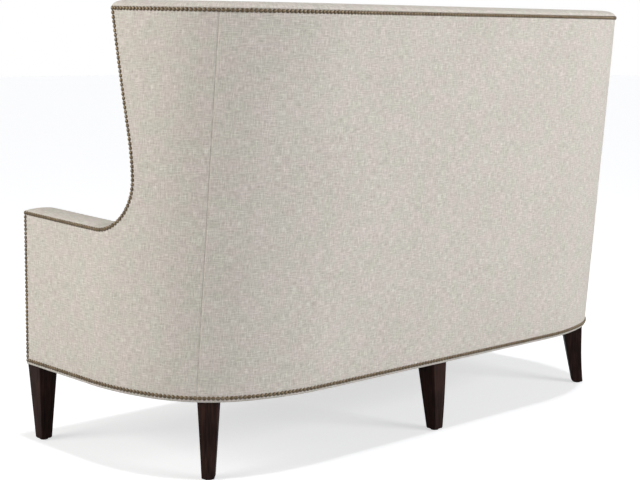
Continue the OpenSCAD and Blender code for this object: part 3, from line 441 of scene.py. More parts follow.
def dress(piece, body, finish, *nodes):
    """Turns a piece's faces outwards, gives it its finish and body, and hides the CAD nodes that it stands for."""
    worked(piece.data, lambda bm: bmesh.ops.recalc_face_normals(bm, faces=bm.faces))
    piece.data.materials.clear()
    piece.data.materials.append(finish_of(finish))
    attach(piece, body)
    if nodes:
        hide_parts(*nodes)
    return piece


def cover(piece, node):
    dress(piece, "settee", "linen_tweed", node)
    uv = np.empty(len(piece.data.loops) * 2, np.float32)
    piece.data.uv_layers["weave"].uv.foreach_get("vector", uv)
    uv = uv.reshape(-1, 2)


def grid_cover(name, node, columns, rows, at, side=1):
    """A cover over a grid; at(i, j) gives its outer and inner point, in millimetres, and its weave place."""
    cells = [[at(i, j) for j in range(rows)] for i in range(columns)]
    outer, inner, uv = (np.array([[cell[k] for cell in line] for line in cells], float) for k in range(3))
    cover(cloth_shell(name, to_frame(outer, side), to_frame(inner, side), uv), node)


# ---------------------------------------------------------------- shader making
class Wire:
    """A shader socket whose arithmetic adds Math nodes."""

    def __init__(self, maker, socket):
        self.maker = maker
        self.socket = socket

    def _math(self, operation, a, b):
        return self.maker.node("ShaderNodeMath", {"operation": operation}, {0: a, 1: b})

    def __add__(self, other):
        return self._math("ADD", self, other)

    __radd__ = __add__

    def __sub__(self, other):
        return self._math("SUBTRACT", self, other)

    def __rsub__(self, other):
        return self._math("SUBTRACT", other, self)

    def __mul__(self, other):
        return self._math("MULTIPLY", self, other)

    __rmul__ = __mul__


class Finish:
    """A material under construction."""

    def __init__(self, name):
        self.material = bpy.data.materials.new(name)
        self.material.use_nodes = True
        self.tree = self.material.node_tree
        self.tree.nodes.clear()
        self.output = self.tree.nodes.new("ShaderNodeOutputMaterial")

    def node(self, kind, setup=None, sockets=None, out=0):
        """Adds a node: its settings first, then the values or links of its sockets."""
        made = self.tree.nodes.new(kind)
        for key, value in (setup or {}).items():
            setattr(made, key, value)
        for key, value in (sockets or {}).items():
            if isinstance(value, Wire):
                self.tree.links.new(value.socket, made.inputs[key])
            else:
                made.inputs[key].default_value = value
        return Wire(self, made.outputs[out])

    def place(self):
        """Object coordinates."""
        return self.node("ShaderNodeTexCoord", out=3)

    def mix(self, share, a, b, blend="MIX"):
        """Mixes two colours; a and b are colours or wires."""
        a, b = (c if isinstance(c, Wire) else (*c, 1.0) for c in (a, b))
        return self.node("ShaderNodeMix", {"data_type": "RGBA", "blend_type": blend}, {0: share, 6: a, 7: b}, 2)

    def noise(self, place, scale, detail=2.0, rough=0.5):
        sockets = {"Vector": place, "Scale": scale, "Detail": detail, "Roughness": rough}
        return self.node("ShaderNodeTexNoise", None, sockets)

    def clamp(self, value, low, high):
        """Maps low..high onto 0..1."""
        return self.node("ShaderNodeMapRange", {"clamp": True}, {0: value, 1: low, 2: high, 3: 0.0, 4: 1.0})

    def scaled(self, place, *factors):
        return self.node("ShaderNodeVectorMath", {"operation": "MULTIPLY"}, {0: place, 1: factors})

    def bump(self, height, strength, distance):
        return self.node("ShaderNodeBump", None, {"Height": height, "Strength": strength, "Distance": distance})

    def surface(self, **sockets):
        """The closing surface shader; spaces in socket names are written as underscores."""
        named = {key.replace("_", " "): value for key, value in sockets.items()}
        shader = self.node("ShaderNodeBsdfPrincipled", None, named)
        self.tree.links.new(shader.socket, self.output.inputs["Surface"])
        return self.material


def linen_tweed(f):
    """Woven greige cloth with slubs in both directions."""
    p = settings().cloth
    thin, long = 1 / p.thread, 1 / p.slub
    place = f.node("ShaderNodeUVMap", {"uv_map": "weave"})
    weft = f.noise(f.scaled(place, long, thin, 1.0), 1.0, 1.0)
    warp = f.noise(f.scaled(place, thin, long, 1.0), 1.0, 1.0)
    flecks = f.noise(f.scaled(place, thin / 2, thin / 2, 1.0), 1.0, 2.0, 0.6)
    blotch = f.noise(place, 21.0)
    broad = f.noise(place, 5.0, 1.0)
    slubs = f.clamp(weft, 0.60, 0.74) + f.clamp(warp, 0.60, 0.74)
    grain = (weft - 0.5) * 0.75 + (warp - 0.5) * 0.75 + (flecks - 0.5) * 0.42
    shade = 0.5 + grain + (blotch - 0.5) * 0.10 + (broad - 0.5) * 0.12
    tone = f.mix(f.clamp(shade, 0.08, 0.92), tuple(p.dark), tuple(p.light))
    slubbed = f.mix(slubs * 0.25, tone, tuple(p.slub_light))
    tint = f.mix(f.clamp(blotch, 0.34, 0.66), (0.965, 1.0, 0.955), (1.0, 0.965, 0.965))
    # Over-and-under of the threads
    threads = f.scaled(place, thin, thin, 1.0)
    squares = {"Vector": threads, "Scale": 1.0, "Color1": (1, 1, 1, 1), "Color2": (0, 0, 0, 1)}
    checks = f.node("ShaderNodeTexChecker", None, squares, 1)
    relief = weft * 0.9 + warp * 0.9 + checks * 0.2 + slubs * 0.6
    return f.surface(
        Base_Color=f.mix(1.0, slubbed, tint, "MULTIPLY"), Roughness=0.72 + (1 - flecks) * 0.3,
        Specular_IOR_Level=0.16, Sheen_Weight=0.10, Sheen_Roughness=0.55, Normal=f.bump(relief, 0.5, 0.0009),
    )


def stained_wood(f):
    """Dark stained hardwood under a satin lacquer."""
    p = settings().wood
    place = f.place()
    grain = f.noise(f.scaled(place, 1.0, 1.0, 0.045), 210.0, 6.0, 0.62)
    pores = f.clamp(f.noise(f.scaled(place, 1.0, 1.0, 0.02), 900.0), 0.60, 0.74)
    cloudy = f.noise(place, 11.0)
    tone = f.mix(f.clamp(grain * 0.75 + cloudy * 0.35, 0.38, 0.72), tuple(p.stain), tuple(p.grain))
    return f.surface(
        Base_Color=f.mix(pores * 0.55, tone, (0.003, 0.002, 0.002)), Roughness=0.30 + grain * 0.2,
        Specular_IOR_Level=0.07, Coat_Weight=0.015, Coat_Roughness=0.3,
        Normal=f.bump(grain * 0.5 - pores, 0.25, 0.0003),
    )


def aged_brass(f):
    """Brass nail heads, lighter and darker in random patches, with small dark spots."""
    place = f.place()
    worn = f.noise(place, 170.0, 4.0, 0.6)
    spots = f.noise(place, 900.0, 3.0, 0.6)
    tone = f.mix(f.clamp(worn, 0.35, 0.7), tuple(settings().nails.metal), (0.28, 0.22, 0.145))
    aged = f.mix(f.clamp(spots, 0.55, 0.75) * 0.6, tone, (0.03, 0.022, 0.015))
    return f.surface(Base_Color=aged, Metallic=0.92, Roughness=0.30 + worn * 0.25, Normal=f.bump(spots, 0.2, 0.0003))


def planed_timber(f):
    """Pale frame timber, planed and unfinished."""
    place = f.place()
    rings = f.noise(f.scaled(place, 0.12, 0.5, 1.0), 60.0, 5.0, 0.6)
    fine = f.noise(f.scaled(place, 0.05, 0.4, 1.0), 420.0, 3.0, 0.55)
    tone = f.mix(f.clamp(rings, 0.35, 0.68), (0.47, 0.31, 0.16), (0.70, 0.53, 0.33))
    base = f.mix(f.clamp(fine, 0.5, 0.75) * 0.35, tone, (0.36, 0.23, 0.12))
    bump = f.bump(fine, 0.3, 0.0005)
    return f.surface(Base_Color=base, Roughness=0.62 + fine * 0.2, Specular_IOR_Level=0.3, Normal=bump)


def lining_board(f):
    """Grey brown board with a thin felted wadding."""
    place = f.place()
    fibres = f.noise(f.scaled(place, 1.0, 1.0, 0.4), 240.0, 5.0, 0.7)
    cloudy = f.noise(place, 14.0, 3.0)
    base = f.mix(f.clamp(fibres * 0.6 + cloudy * 0.4, 0.35, 0.65), (0.40, 0.32, 0.23), (0.60, 0.52, 0.41))
    bump = f.bump(fibres, 0.4, 0.0006)
    return f.surface(Base_Color=base, Roughness=0.85 + fibres * 0.1, Specular_IOR_Level=0.15, Normal=bump)


def foam(f):
    """Open cell foam."""
    place = f.place()
    cells = f.node("ShaderNodeTexVoronoi", None, {"Vector": place, "Scale": 520.0})
    base = f.mix(f.clamp(f.noise(place, 22.0, 3.0), 0.35, 0.65), (0.80, 0.73, 0.52), (0.90, 0.85, 0.68))
    bump = f.bump(cells, 0.5, 0.0008)
    return f.surface(Base_Color=base, Roughness=0.9 - cells * 0.1, Specular_IOR_Level=0.1, Normal=bump)


def woven(f, dark, light, pitch, rough):
    """A plain open weave seen from close by."""
    place = f.place()
    wave = {"Vector": place, "Scale": 0.16 / pitch, "Distortion": 0.6, "Detail": 1.0}
    warp, weft = (
        f.node("ShaderNodeTexWave", {"wave_type": "BANDS", "bands_direction": axis}, wave, 1) for axis in "XY"
    )
    cloudy = f.noise(place, 30.0, 4.0, 0.6)
    weave = warp * 0.5 + weft * 0.5
    base = f.mix(f.clamp(weave * 0.6 + cloudy * 0.4, 0.2, 0.8), dark, light)
    bump = f.bump(weave, 0.5, 0.0006)
    return f.surface(Base_Color=base, Roughness=rough + cloudy * 0.1, Specular_IOR_Level=0.15, Normal=bump)


def wire_steel(f, dark, light, rough):
    """Drawn or plated steel."""
    place = f.place()
    scratches = f.noise(f.scaled(place, 1.0, 0.06, 1.0), 800.0)
    base = f.mix(f.clamp(f.noise(place, 45.0, 4.0, 0.6), 0.35, 0.68), dark, light)
    bump = f.bump(scratches, 0.15, 0.0002)
    return f.surface(Base_Color=base, Metallic=0.95, Roughness=rough + scratches * 0.15, Normal=bump)


def glide_plastic(f):
    """Black moulded plastic with a fine eroded surface."""
    place = f.place()
    scuffs = f.noise(place, 120.0, 4.0, 0.65)
    base = f.mix(f.clamp(scuffs, 0.55, 0.75), (0.022, 0.022, 0.023), (0.07, 0.07, 0.07))
    bump = f.bump(f.noise(place, 1400.0, 3.0, 0.6), 0.2, 0.0002)
    return f.surface(Base_Color=base, Roughness=0.48 + scuffs * 0.2, Normal=bump)


FINISHES = {
    "linen_tweed": (linen_tweed,),
    "stained_wood": (stained_wood,),
    "aged_brass": (aged_brass,),
    "planed_timber": (planed_timber,),
    "lining_board": (lining_board,),
    "foam": (foam,),
    "glide_plastic": (glide_plastic,),
    "hessian": (woven, (0.30, 0.21, 0.115), (0.60, 0.47, 0.30), 0.0022, 0.85),
    "black_cloth": (woven, (0.012, 0.012, 0.013), (0.045, 0.045, 0.048), 0.0016, 0.82),
    "zip_tape": (woven, (0.33, 0.30, 0.26), (0.52, 0.48, 0.42), 0.0010, 0.8),
    "spring_steel": (wire_steel, (0.16, 0.165, 0.175), (0.36, 0.37, 0.38), 0.34),
    "zinc_steel": (wire_steel, (0.42, 0.42, 0.40), (0.68, 0.68, 0.65), 0.28),
}
MADE = {}


def finish_of(name):
    """A finish by name, made once."""
    if name not in MADE:
        maker, *values = FINISHES[name]
        MADE[name] = maker(Finish(name), *values)
    return MADE[name]


# ---------------------------------------------------------------- outside cloth
SEAM_END = SEAM_S - 0.2
SEAM_SLACK = 0.15
TURN_IN = 4.0
FAN_POWER = 1.06
FADE = 60.0


def seam_turn_in(distance):
    """How far a panel turns in at this distance from its seam, in millimetres."""
    return settings().cloth.seam_dip / MM * float(np.clip(1 - distance / TURN_IN, 0, 1)) ** 2


def slack(fade, u, v, seed):
    """How far a stretched panel stands off its boards, where it isn't faded out by its edges."""
    return fade * (0.5 + 0.45 * ripple(u, v, seed))


def fan_point(r, b, seam_y, low, high):
    """Point (y, z) of a wing's panel: r from the arm up to the top, b from the front edge back to the seam."""
    (y, z), _ = wing_edge(r, RIM_LAP)
    end = low + (high - low) * r ** FAN_POWER
    return rounded_tip((y + (seam_y(end) - y) * b, z + (end - z) * b), RIM_LAP)


def outside_back():
    """The cloth round the back and both back corners, seam to seam."""
    along = between(SEAM_END, (0, 1.2, 3, 6), 10, 190)
    rows, inset = 84, 22.0
    columns = []
    for s in along:
        x, l, t = round_outline(s)
        columns.append((x, l, t, line_height(l, BASE_LINE), line_height(l, top_line(RIM_LAP))))

    def at(i, j):
        s, (x, l, t, low, high) = along[i], columns[i]
        z = low + (high - low) * j / (rows - 1)
        fade = smooth((z - low - inset) / FADE) * smooth((high - inset - z) / FADE)
        d = seam_turn_in(SEAM_END - abs(s)) - slack(fade, s, z, 1.0)
        points = [(x - k * math.cos(t), outer_y(l - k * math.sin(t), z), z) for k in (d, d + CLOTH_T)]
        return *points, (s * MM, z * MM / LC)

    grid_cover(
        "outside_back_cloth", "outside_back_panel", len(along), rows, at
    )


def side_lines(seam_l):
    """Points (y, z) of the lower and the upper part of a side, in rows from below, each row from front to seam."""
    lower, upper = 60, 74
    arm_shares = np.linspace(0, 1, 34)
    rear_shares = np.concatenate([np.linspace(0, 0.985, 30), [0.992, 0.997, 1.0]])
    y0 = wing_edge(0.0, RIM_LAP)[0][0]
    lines = (BASE_LINE, arm_line(RIM_LAP), top_line(RIM_LAP))
    seam_low, seam_mid, seam_top = (line_height(seam_l, line) for line in lines)

    def low_row(r):
        line = [(y, base_z(y) + (arm_z(y, RIM_LAP) - base_z(y)) * r) for y in arm_shares * y0]
        z_start, z_end = line[-1][1], seam_low + (seam_mid - seam_low) * r
        y_end = outer_y(seam_l, z_end)
        return line + [(y0 + (y_end - y0) * b, z_start + (z_end - z_start) * b) for b in rear_shares[1:]]

    def high_row(r):
        return [fan_point(r, b, lambda z: outer_y(seam_l, z), seam_mid, seam_top) for b in rear_shares]

    low = np.array([low_row(r) for r in np.linspace(0, 1, lower)])
    high = np.array([high_row(r) for r in np.linspace(0, 1, upper)])
    return low, high


def outside_side(side, name):
    """The cloth over one side, arm and wing in one piece, up to the corner seam."""
    seam_l = plan(SEAM_TURN, 0.0)[1] - SEAM_SLACK
    low, high = side_lines(seam_l)
    inset, front_in, seam_in, notch_in, arm_fade = 20.0, 14, 10, 60, 50

    def lifted(y, z, extra):
        l = outer_l(y, z)
        t = side_turn(l)
        fade = smooth((z - base_z(y) - inset) / FADE) * smooth((y - front_in) / FADE)
        fade *= smooth((seam_l - l - seam_in) / FADE) * smooth((top_z(y) - inset - z) / FADE)
        if y < NOTCH_BACK - notch_in:
            fade *= smooth((arm_z(y) - inset - z) / arm_fade)
        d = extra + seam_turn_in((seam_l - l) / math.cos(SEAM_TURN)) - slack(fade, y, z, 3.0)
        return side_x(l) - d * math.cos(t), y - d * math.sin(t) * 0.5, z

    def along(x, y, z):
        """Distance back along the cloth, round the corner too."""
        l = outer_l(y, z)
        if l <= C1[1]:
            return l
        t = math.atan2(l - C1[1], x - C1[0])
        u = C1[1] + SOFT_R * min(t, SOFT_TURN)
        if t > SOFT_TURN:
            u += TIGHT_R * max(math.atan2(l - C2[1], x - C2[0]) - SOFT_TURN, 0)
        return u

    # One mesh from the two parts, sharing the line between them
    places = np.concatenate([low.reshape(-1, 2), high[1:].reshape(-1, 2)])
    index_low = np.arange(low.shape[0] * low.shape[1]).reshape(low.shape[:2])
    index_high = np.arange(index_low.size, len(places)).reshape(-1, high.shape[1])
    index_high = np.vstack([index_low[-1, -high.shape[1]:], index_high])
    outer, inner = (np.array([lifted(y, z, extra) for y, z in places]) for extra in (0.0, CLOTH_T))
    uv = [(-along(p[0], y, z) * MM, z * MM / LC) for p, (y, z) in zip(outer, places)] * 2
    faces = [
        (g[i][j], g[i][j + 1], g[i + 1][j + 1], g[i + 1][j])
        for g in (index_low.tolist(), index_high.tolist()) for i in range(len(g) - 1) for j in range(len(g[0]) - 1)
    ]
    edges = dict.fromkeys((a, b) for f in faces for a, b in zip(f, f[1:] + f[:1]))
    count = len(places)
    back = [tuple(count + v for v in f[::-1]) for f in faces]
    faces += back + [(b, a, count + a, count + b) for a, b in edges if (b, a) not in edges]
    if side < 0:
        faces = [f[::-1] for f in faces]
    verts = to_frame(np.concatenate([outer, inner]), side)
    piece = new_piece("outside_side_cloth_" + name, verts, faces, [[uv[v] for v in f] for f in faces])
    cover(piece, "outside_panel_" + name)


class SETTEE_OT_outside_cloth(bpy.types.Operator):
    """Makes the cloth over the outside of the back and both sides."""

    bl_idname = "settee.outside_cloth"
    bl_label = "Outside cloth"

    def execute(self, context):
        outside_back()
        for side, name in SIDES:
            outside_side(side, name)
        return {"FINISHED"}


# ---------------------------------------------------------------- rolled edges
ROLL_SHARES = (1 - np.cos(np.linspace(0, math.pi, 19))) / 2
UNDER_SHARES = (0.8, 0.6, 0.4, 0.2)
ROLL_LOW = RIM_LAP + GAP


def section(place, rise):
    """A section across the rim: an arch of the given rise, and back under it; place(f, e) gives its points."""
    def arch(f):
        return ROLL_LOW + (rise - ROLL_LOW) * math.sqrt(max(0.0, 1 - (2 * f - 1) ** 2))

    return np.array([place(f, arch(f)) for f in ROLL_SHARES] + [place(f, ROLL_LOW) for f in UNDER_SHARES])


def side_ring(y, z, a, rise):
    """A section at a place of the side outline; a is the outward angle there."""
    def place(f, e):
        yy, zz = y + e * math.cos(a), z + e * math.sin(a)
        xo, xi = side_x(outer_l(yy, zz)), side_x(inner_l(yy, zz), WALL_T)
        return xo + (xi - xo) * f, yy, zz

    return section(place, rise)


def top_ring(s, rise):
    """A section at a distance s along the top from the middle of the back."""
    def place(f, e):
        x, l, _ = round_outline(s, f * WALL_T)
        z = line_height(l, top_line(e))
        return x, outer_y(l, z), z

    return section(place, rise)


def ring_uv(rings):
    """Distances round each ring and along the sweep, in metres."""
    loop = np.concatenate([rings, rings[:, :1]], 1)
    uv = np.zeros((*loop.shape[:2], 2))
    uv[:, :, 0] = [walked(ring) for ring in loop]
    uv[:, :, 1] = walked(rings[:, len(ROLL_SHARES) // 2])[:, None]
    return uv * MM


def arm_rings():
    """Sections along an arm, whose roll rises from its front end."""
    out = []
    for y in np.concatenate([[0, 1.5, 4, 8, 13, 20, 28], np.linspace(38, ARM_END, 28)]):
        share = float(np.interp(y, [0, 2, 6.2, 12, 18.2], [0.5, 0.66, 0.85, 0.95, 1.0]))
        out.append(side_ring(y, arm_z(y), QUARTER - ARM_FALL, ROLL_LOW + share * (ARM_RISE - ROLL_LOW)))
    return np.array(out)


def wing_rings():
    """Sections along the notch and the wing's front edge."""
    edge = [wing_edge(share) for share in np.linspace(0, 1, 70)]
    return np.array([side_ring(*place, a, ARM_RISE) for place, a in edge])


def top_rings():
    """Sections fanned round a wing's tip, along the top, and fanned round the other tip."""
    steps = 12
    angles = np.linspace(math.pi + WING_LEAN, QUARTER - TOP_FALL, steps + 1)
    rises = np.interp(np.linspace(0, 1, steps + 1), [0, 0.25, 0.5, 0.75, 1], [0, 0.3, 0.65, 0.9, 1])
    half = [side_ring(*WING_TIP, a, ARM_RISE + r * (TOP_RISE - ARM_RISE)) for a, r in zip(angles, rises)]
    half += [top_ring(s, TOP_RISE) for s in np.linspace(CORNER_LEN + C1[1] - TIP_L - 6, 0, 108)]
    return np.array(half + [ring * (-1, 1, 1) for ring in half[:-1][::-1]])


def roll(name, node, rings, side=1):
    """One rolled edge through its sections."""
    piece = swept(name, to_frame(rings, side), ring_uv(rings))
    dress(piece, "settee", "linen_tweed", node)


class SETTEE_OT_rolled_edges(bpy.types.Operator):
    """Makes the padded, covered edges along the arms, the wings and the top."""

    bl_idname = "settee.rolled_edges"
    bl_label = "Rolled edges"

    def execute(self, context):
        for part, rings in (("arm", arm_rings()), ("wing", wing_rings())):
            for side, name in SIDES:
                roll(f"{part}_roll_cloth_{name}", part + "_rolls", rings, side)
        roll("top_roll_cloth", "top_roll", top_rings())
        return {"FINISHED"}


# ---------------------------------------------------------------- inside cloth
def inside_top(l):
    """Height of the inside cloth's upper edge at plan depth l."""
    return line_height(l, top_line(RIM_LAP), outer=False)


def inside_back():
    """The inside of the back and both corners, seam to seam, swelling over the padding."""
    along = between(SEAM_END, (0, 2, 5), 12, 120)
    columns = [round_outline(s, WALL_T) for s in along]
    rows, low = 52, DECK_H - DECK_LAP
    swell, uneven, seed = 9.0, 1.2, 5.0
    low_fade, top_fade, seam_fade, top_gap = 170, 120, 90, 6

    def at(i, j):
        s, (x, l, t) = along[i], columns[i]
        high, edge = inside_top(l), SEAM_END - abs(s)
        z = low + (high - low) * j / (rows - 1)
        rise = smooth((z - DECK_H - low_fade) / low_fade) * smooth((high - top_gap - z) / top_fade)
        d = rise * smooth(edge / seam_fade) * (swell + uneven * ripple(s, z, seed)) - seam_turn_in(edge)
        points = [(x - k * math.cos(t), inner_y(l - k * math.sin(t), z), z) for k in (d, d - CLOTH_T)]
        return *points, (s * MM, z * MM / IC)

    grid_cover("inside_back_cloth", "inside_back_cover", len(along), rows, at)


def inside_point(y, z, puff):
    """Outer and inner point and weave place of a cover inside a wing or an arm, swollen by puff."""
    x = side_x(inner_l(y, z), WALL_T) - puff
    return (x, y, z), (x + CLOTH_T, y, z), (-y * MM, z * MM)


def inside_wing(side, name):
    """Inside of a wing, above the line of the arm, from the wing's front edge to the corner seam."""
    seam_l = plan(SEAM_TURN, WALL_T)[1]
    shares = np.concatenate([np.linspace(0, 0.97, 34), [0.985, 0.995, 1.0]])
    rows, width, fade, swell, arm_gap, top_gap = 64, 320, 90, 6.0, 8, 10
    low, high = line_height(seam_l, arm_line(RIM_LAP), outer=False), inside_top(seam_l)

    def at(i, j):
        y, z = fan_point(j / (rows - 1), shares[i], lambda z: inner_y(seam_l - SEAM_SLACK, z), low, high)
        edge = min(1 - shares[i], shares[i]) * width
        rise = smooth((z - ARM_ROW_H - arm_gap) / fade) * smooth((top_z(y) - top_gap - z) / fade)
        return inside_point(y, z, swell * smooth(edge / fade) * rise)

    grid_cover(f"inside_wing_cloth_{name}", "inside_wing_covers", len(shares), rows, at, side)


def inside_arm(side, name):
    """Inside of an arm, from the arm front to the corner seam."""
    seam_l = plan(SEAM_TURN, WALL_T)[1]
    shares = np.linspace(0, 1, 52)
    rows, front, guess, end_share = 40, 2.6, 560.0, 0.1
    swell, low_gap, low_fade, top_fade = 2.5, 160, 45, 30

    def at(i, j):
        a, r = shares[i], j / (rows - 1)
        y = a * guess
        for _ in range(3):
            low = DECK_H - DECK_LAP if i else base_z(y)
            z = low + (arm_z(y, RIM_LAP) - low) * r
            y = front + a * (inner_y(seam_l, z) - SEAM_SLACK - front)
        rise = smooth((z - DECK_H - low_gap) / low_fade) * smooth((arm_z(y) - z) / top_fade)
        return inside_point(y, z, swell * rise * smooth(a / end_share) * smooth((1 - a) / end_share))

    grid_cover(f"inside_arm_cloth_{name}", "inside_arm_covers", len(shares), rows, at, side)


class SETTEE_OT_inside_cloth(bpy.types.Operator):
    """Makes the cloth over the inside of the back, the wings and the arms."""

    bl_idname = "settee.inside_cloth"
    bl_label = "Inside cloth"

    def execute(self, context):
        inside_back()
        for side, name in SIDES:
            inside_wing(side, name)
            inside_arm(side, name)
        return {"FINISHED"}


# ---------------------------------------------------------------- arm fronts and deck
def arm_front(side, name):
    """A softly crowned panel between the two faces of an arm, turned back at both edges."""
    clear, turns, count = 0.4, (2.2, 1.2), 25
    half = WALL_T / 2 - clear
    across = np.concatenate([[-half, -half], np.linspace(-half, half, count), [half, half]])
    turned = np.concatenate([turns, np.zeros(count), turns[::-1]])
    rows, middle, squeeze = 60, HALF_W - WALL_T / 2, 1 - turns[1] / half
    low, high = base_z(0) + clear, arm_z(0, RIM_LAP)
    crown, power, wave, wave_len = 3.4, 2.6, 0.1, 41.0
    low_fade, top_fade, top_lap = 26, 30, 4

    def at(i, j):
        u, back = across[i], turned[i]
        z = low + (high - low) * j / (rows - 1)
        ends = smooth((z - low) / low_fade) * smooth((high - z + top_lap) / top_fade)
        y = back - crown * (1 - abs(u / half) ** power) * ends * (1 + wave * math.sin(z / wave_len))
        weave = ((u + math.copysign(back, u)) * MM, z * MM)
        return (middle + u, y, z), (middle + u * squeeze, y + CLOTH_T, z), weave

    grid_cover(f"arm_front_cloth_{name}", "arm_front_covers", len(across), rows, at, side)


def deck_rear(x):
    """Y at which the inside wall meets the deck, at this distance from the middle."""
    short, low, high = 0.6, 100.0, inner_y(BACK_L - WALL_T, DECK_H)
    if x <= C3[0]:
        return high - short
    for _ in range(40):
        mid = (low + high) / 2
        l = inner_l(mid, DECK_H)
        if l > BACK_L - WALL_T or side_x(l, WALL_T) < x:
            high = mid
        else:
            low = mid
    return low - short


def deck():
    """One cloth up the front border, over its rounded edge and back across the deck."""
    radius, belly, belly_z, side_gap = 12.0, 1.4, 205, 0.5
    side_fade, low_fade, top_fade = 60, 40, 30
    half = HALF_W - WALL_T - side_gap
    bend_z = DECK_H - radius
    width = between(half, (0, 3, 8), 18, 90)
    front = [(0.0, z) for z in np.linspace(base_z(0) + GAP, bend_z, 16)]
    front += [(radius - radius * math.cos(a), bend_z + radius * math.sin(a)) for a in np.linspace(0.2, QUARTER, 7)]
    profiles = [front + [(y, DECK_H) for y in np.linspace(radius + 14, deck_rear(abs(x)), 26)] for x in width]
    walks = [walked(np.array(profile)) for profile in profiles]

    def at(i, j):
        x, (y, z) = width[i], profiles[i][j]
        if z < DECK_H - 1:
            rise = smooth((z - belly_z) / low_fade) * smooth((DECK_H - z) / top_fade)
            y -= belly * smooth((half - abs(x)) / side_fade) * rise
        a = 0.0 if z < bend_z else math.asin(min(1.0, (z - bend_z) / radius))
        return (x, y, z), (x, y + CLOTH_T * math.cos(a), z - CLOTH_T * math.sin(a)), (x * MM, walks[i][j] * MM)

    grid_cover("deck_cloth", "deck_cover", len(width), len(profiles[0]), at)


class SETTEE_OT_front_cloth(bpy.types.Operator):
    """Makes the cloth over the arm fronts, and over the front border and the seat deck."""

    bl_idname = "settee.front_cloth"
    bl_label = "Front cloth"

    def execute(self, context):
        for side, name in SIDES:
            arm_front(side, name)
        deck()
        return {"FINISHED"}


# ---------------------------------------------------------------- nails
def nail_places():
    """Place and normal of every nail: bottom row, side rows and top row, in millimetres."""
    pitch, low_up, front_in = 11.2, 10.5, 5.5

    def nail(x, l, t, z):
        return (x, outer_y(l, z), z), (math.cos(t), math.sin(t) * LC, -math.sin(t) * LS)

    def row(reach, line):
        n = int(reach // pitch)
        places = (round_outline(i * reach / n) for i in range(-n, n + 1))
        return [nail(x, l, t, line_height(l, line)) for x, l, t in places]

    def rim(y, z):
        l = outer_l(y, z)
        return nail(side_x(l), l, side_turn(l), z)

    low_z = base_z(front_in) + low_up
    bottom = row(CORNER_LEN + C1[1] - outer_l(front_in, low_z), (BASE_H + low_up, -BASE_FALL))
    top = row(CORNER_LEN + C1[1] - TIP_L - pitch, top_line())
    front_len = arm_z(front_in) - low_z
    n = int(front_len // pitch)
    side = [rim(front_in, low_z + i * front_len / n) for i in range(1, n)]
    arm_len = (ARM_END - front_in) / math.cos(ARM_FALL)
    total = arm_len + NOTCH_LEN + WING_LEN + wing_run()
    n = int(total // pitch)
    for s in (i * total / n for i in range(n + 1)):
        if s < arm_len:
            y = front_in + s * math.cos(ARM_FALL)
            side.append(rim(y, arm_z(y)))
        else:
            side.append(rim(*wing_edge((s - arm_len) / (total - arm_len))[0]))
    other = [((-p[0], p[1], p[2]), (-q[0], q[1], q[2])) for p, q in side]
    return {"bottom_nails": bottom, "side_nails": side + other, "top_nails": top}


def nail_heads(name, places, seed):
    """Low domes with a rolled rim, each set a little differently, as hand driven nails are."""
    p = settings().nails
    profile = ((1.0, -0.06), (1.0, 0.06), (0.965, 0.22), (0.86, 0.50), (0.68, 0.75), (0.44, 0.92), (0.2, 0.985))
    sides, rings = 14, len(profile)
    tilt, size_spread, rise_spread, stray = 0.022, 0.006, 0.03, 0.12
    rng = np.random.default_rng(seed)
    angles = np.linspace(0, 2 * math.pi, sides, endpoint=False)
    unit = np.array([(q * math.cos(a), q * math.sin(a), h) for q, h in profile for a in angles] + [(0, 0, 1)])
    verts, faces = [], []
    for place, normal in places:
        up = (Vector(normal).normalized() + Vector(rng.normal(0, tilt, 3))).normalized()
        across = up.orthogonal().normalized()
        axes = np.array([across, up.cross(across), up])
        size = p.head / 2 * (1 + rng.normal(0, size_spread))
        height = p.rise * (1 + rng.normal(0, rise_spread))
        shift = rng.normal(0, stray, 3)
        base = to_frame(np.array(place) + shift + axes[2] * (GAP - float(np.dot(shift, axes[2]))))
        start = len(verts)
        verts.extend(base + unit * (size, size, height) @ axes)
        faces += grid_faces(rings, sides, start, wrap=True)[0]
        last = start + (rings - 1) * sides
        faces += [(last + j, last + (j + 1) % sides, last + sides) for j in range(sides)]
        faces.append(tuple(range(start, start + sides))[::-1])
    return new_piece(name, verts, faces)


class SETTEE_OT_nails(bpy.types.Operator):
    """Makes the three groups of nail rows."""

    bl_idname = "settee.nails"
    bl_label = "Nails"

    def execute(self, context):
        for seed, (node, places) in enumerate(nail_places().items(), 11):
            dress(nail_heads(node.replace("nails", "nail_heads"), places, seed), "settee", "aged_brass", node)
        return {"FINISHED"}


# ---------------------------------------------------------------- legs
LEG_TOP_Z = BASE_H - GAP
GLIDE_T = 3.0
FOOT = 32.0
KICK_H = 132.0
FRONT_W = 58.0
BACK_W = 54.0
SHARP = math.radians(35)


def leg_specs():
    """Name, place beside the outline, turn, width, inner and outer depth at the top, run of the outer face, front."""
    x, l = plan(LEG_TURN, 0.0)
    y = (l + base_z(BASE_D) * LS) / LC
    front = (FRONT_W, 60.0, 2.0, (FOOT - FRONT_W) / 2, True)
    return [
        ("front_leg_left", (HALF_W, 31.0), 0.0, *front),
        ("front_leg_right", (-HALF_W, 31.0), math.pi, *front),
        ("front_leg_middle", (0.0, 0.0), -QUARTER, *front),
        ("back_leg_left", (x, y), QUARTER / 2, BACK_W, 76.0, 10.0, 7.0, False),
        ("back_leg_right", (-x, y), 3 * QUARTER / 2, BACK_W, 76.0, 10.0, 7.0, False),
        ("back_leg_middle", (0.0, BASE_D), QUARTER, BACK_W, 82.0, 16.0, -3.5, False),
    ]


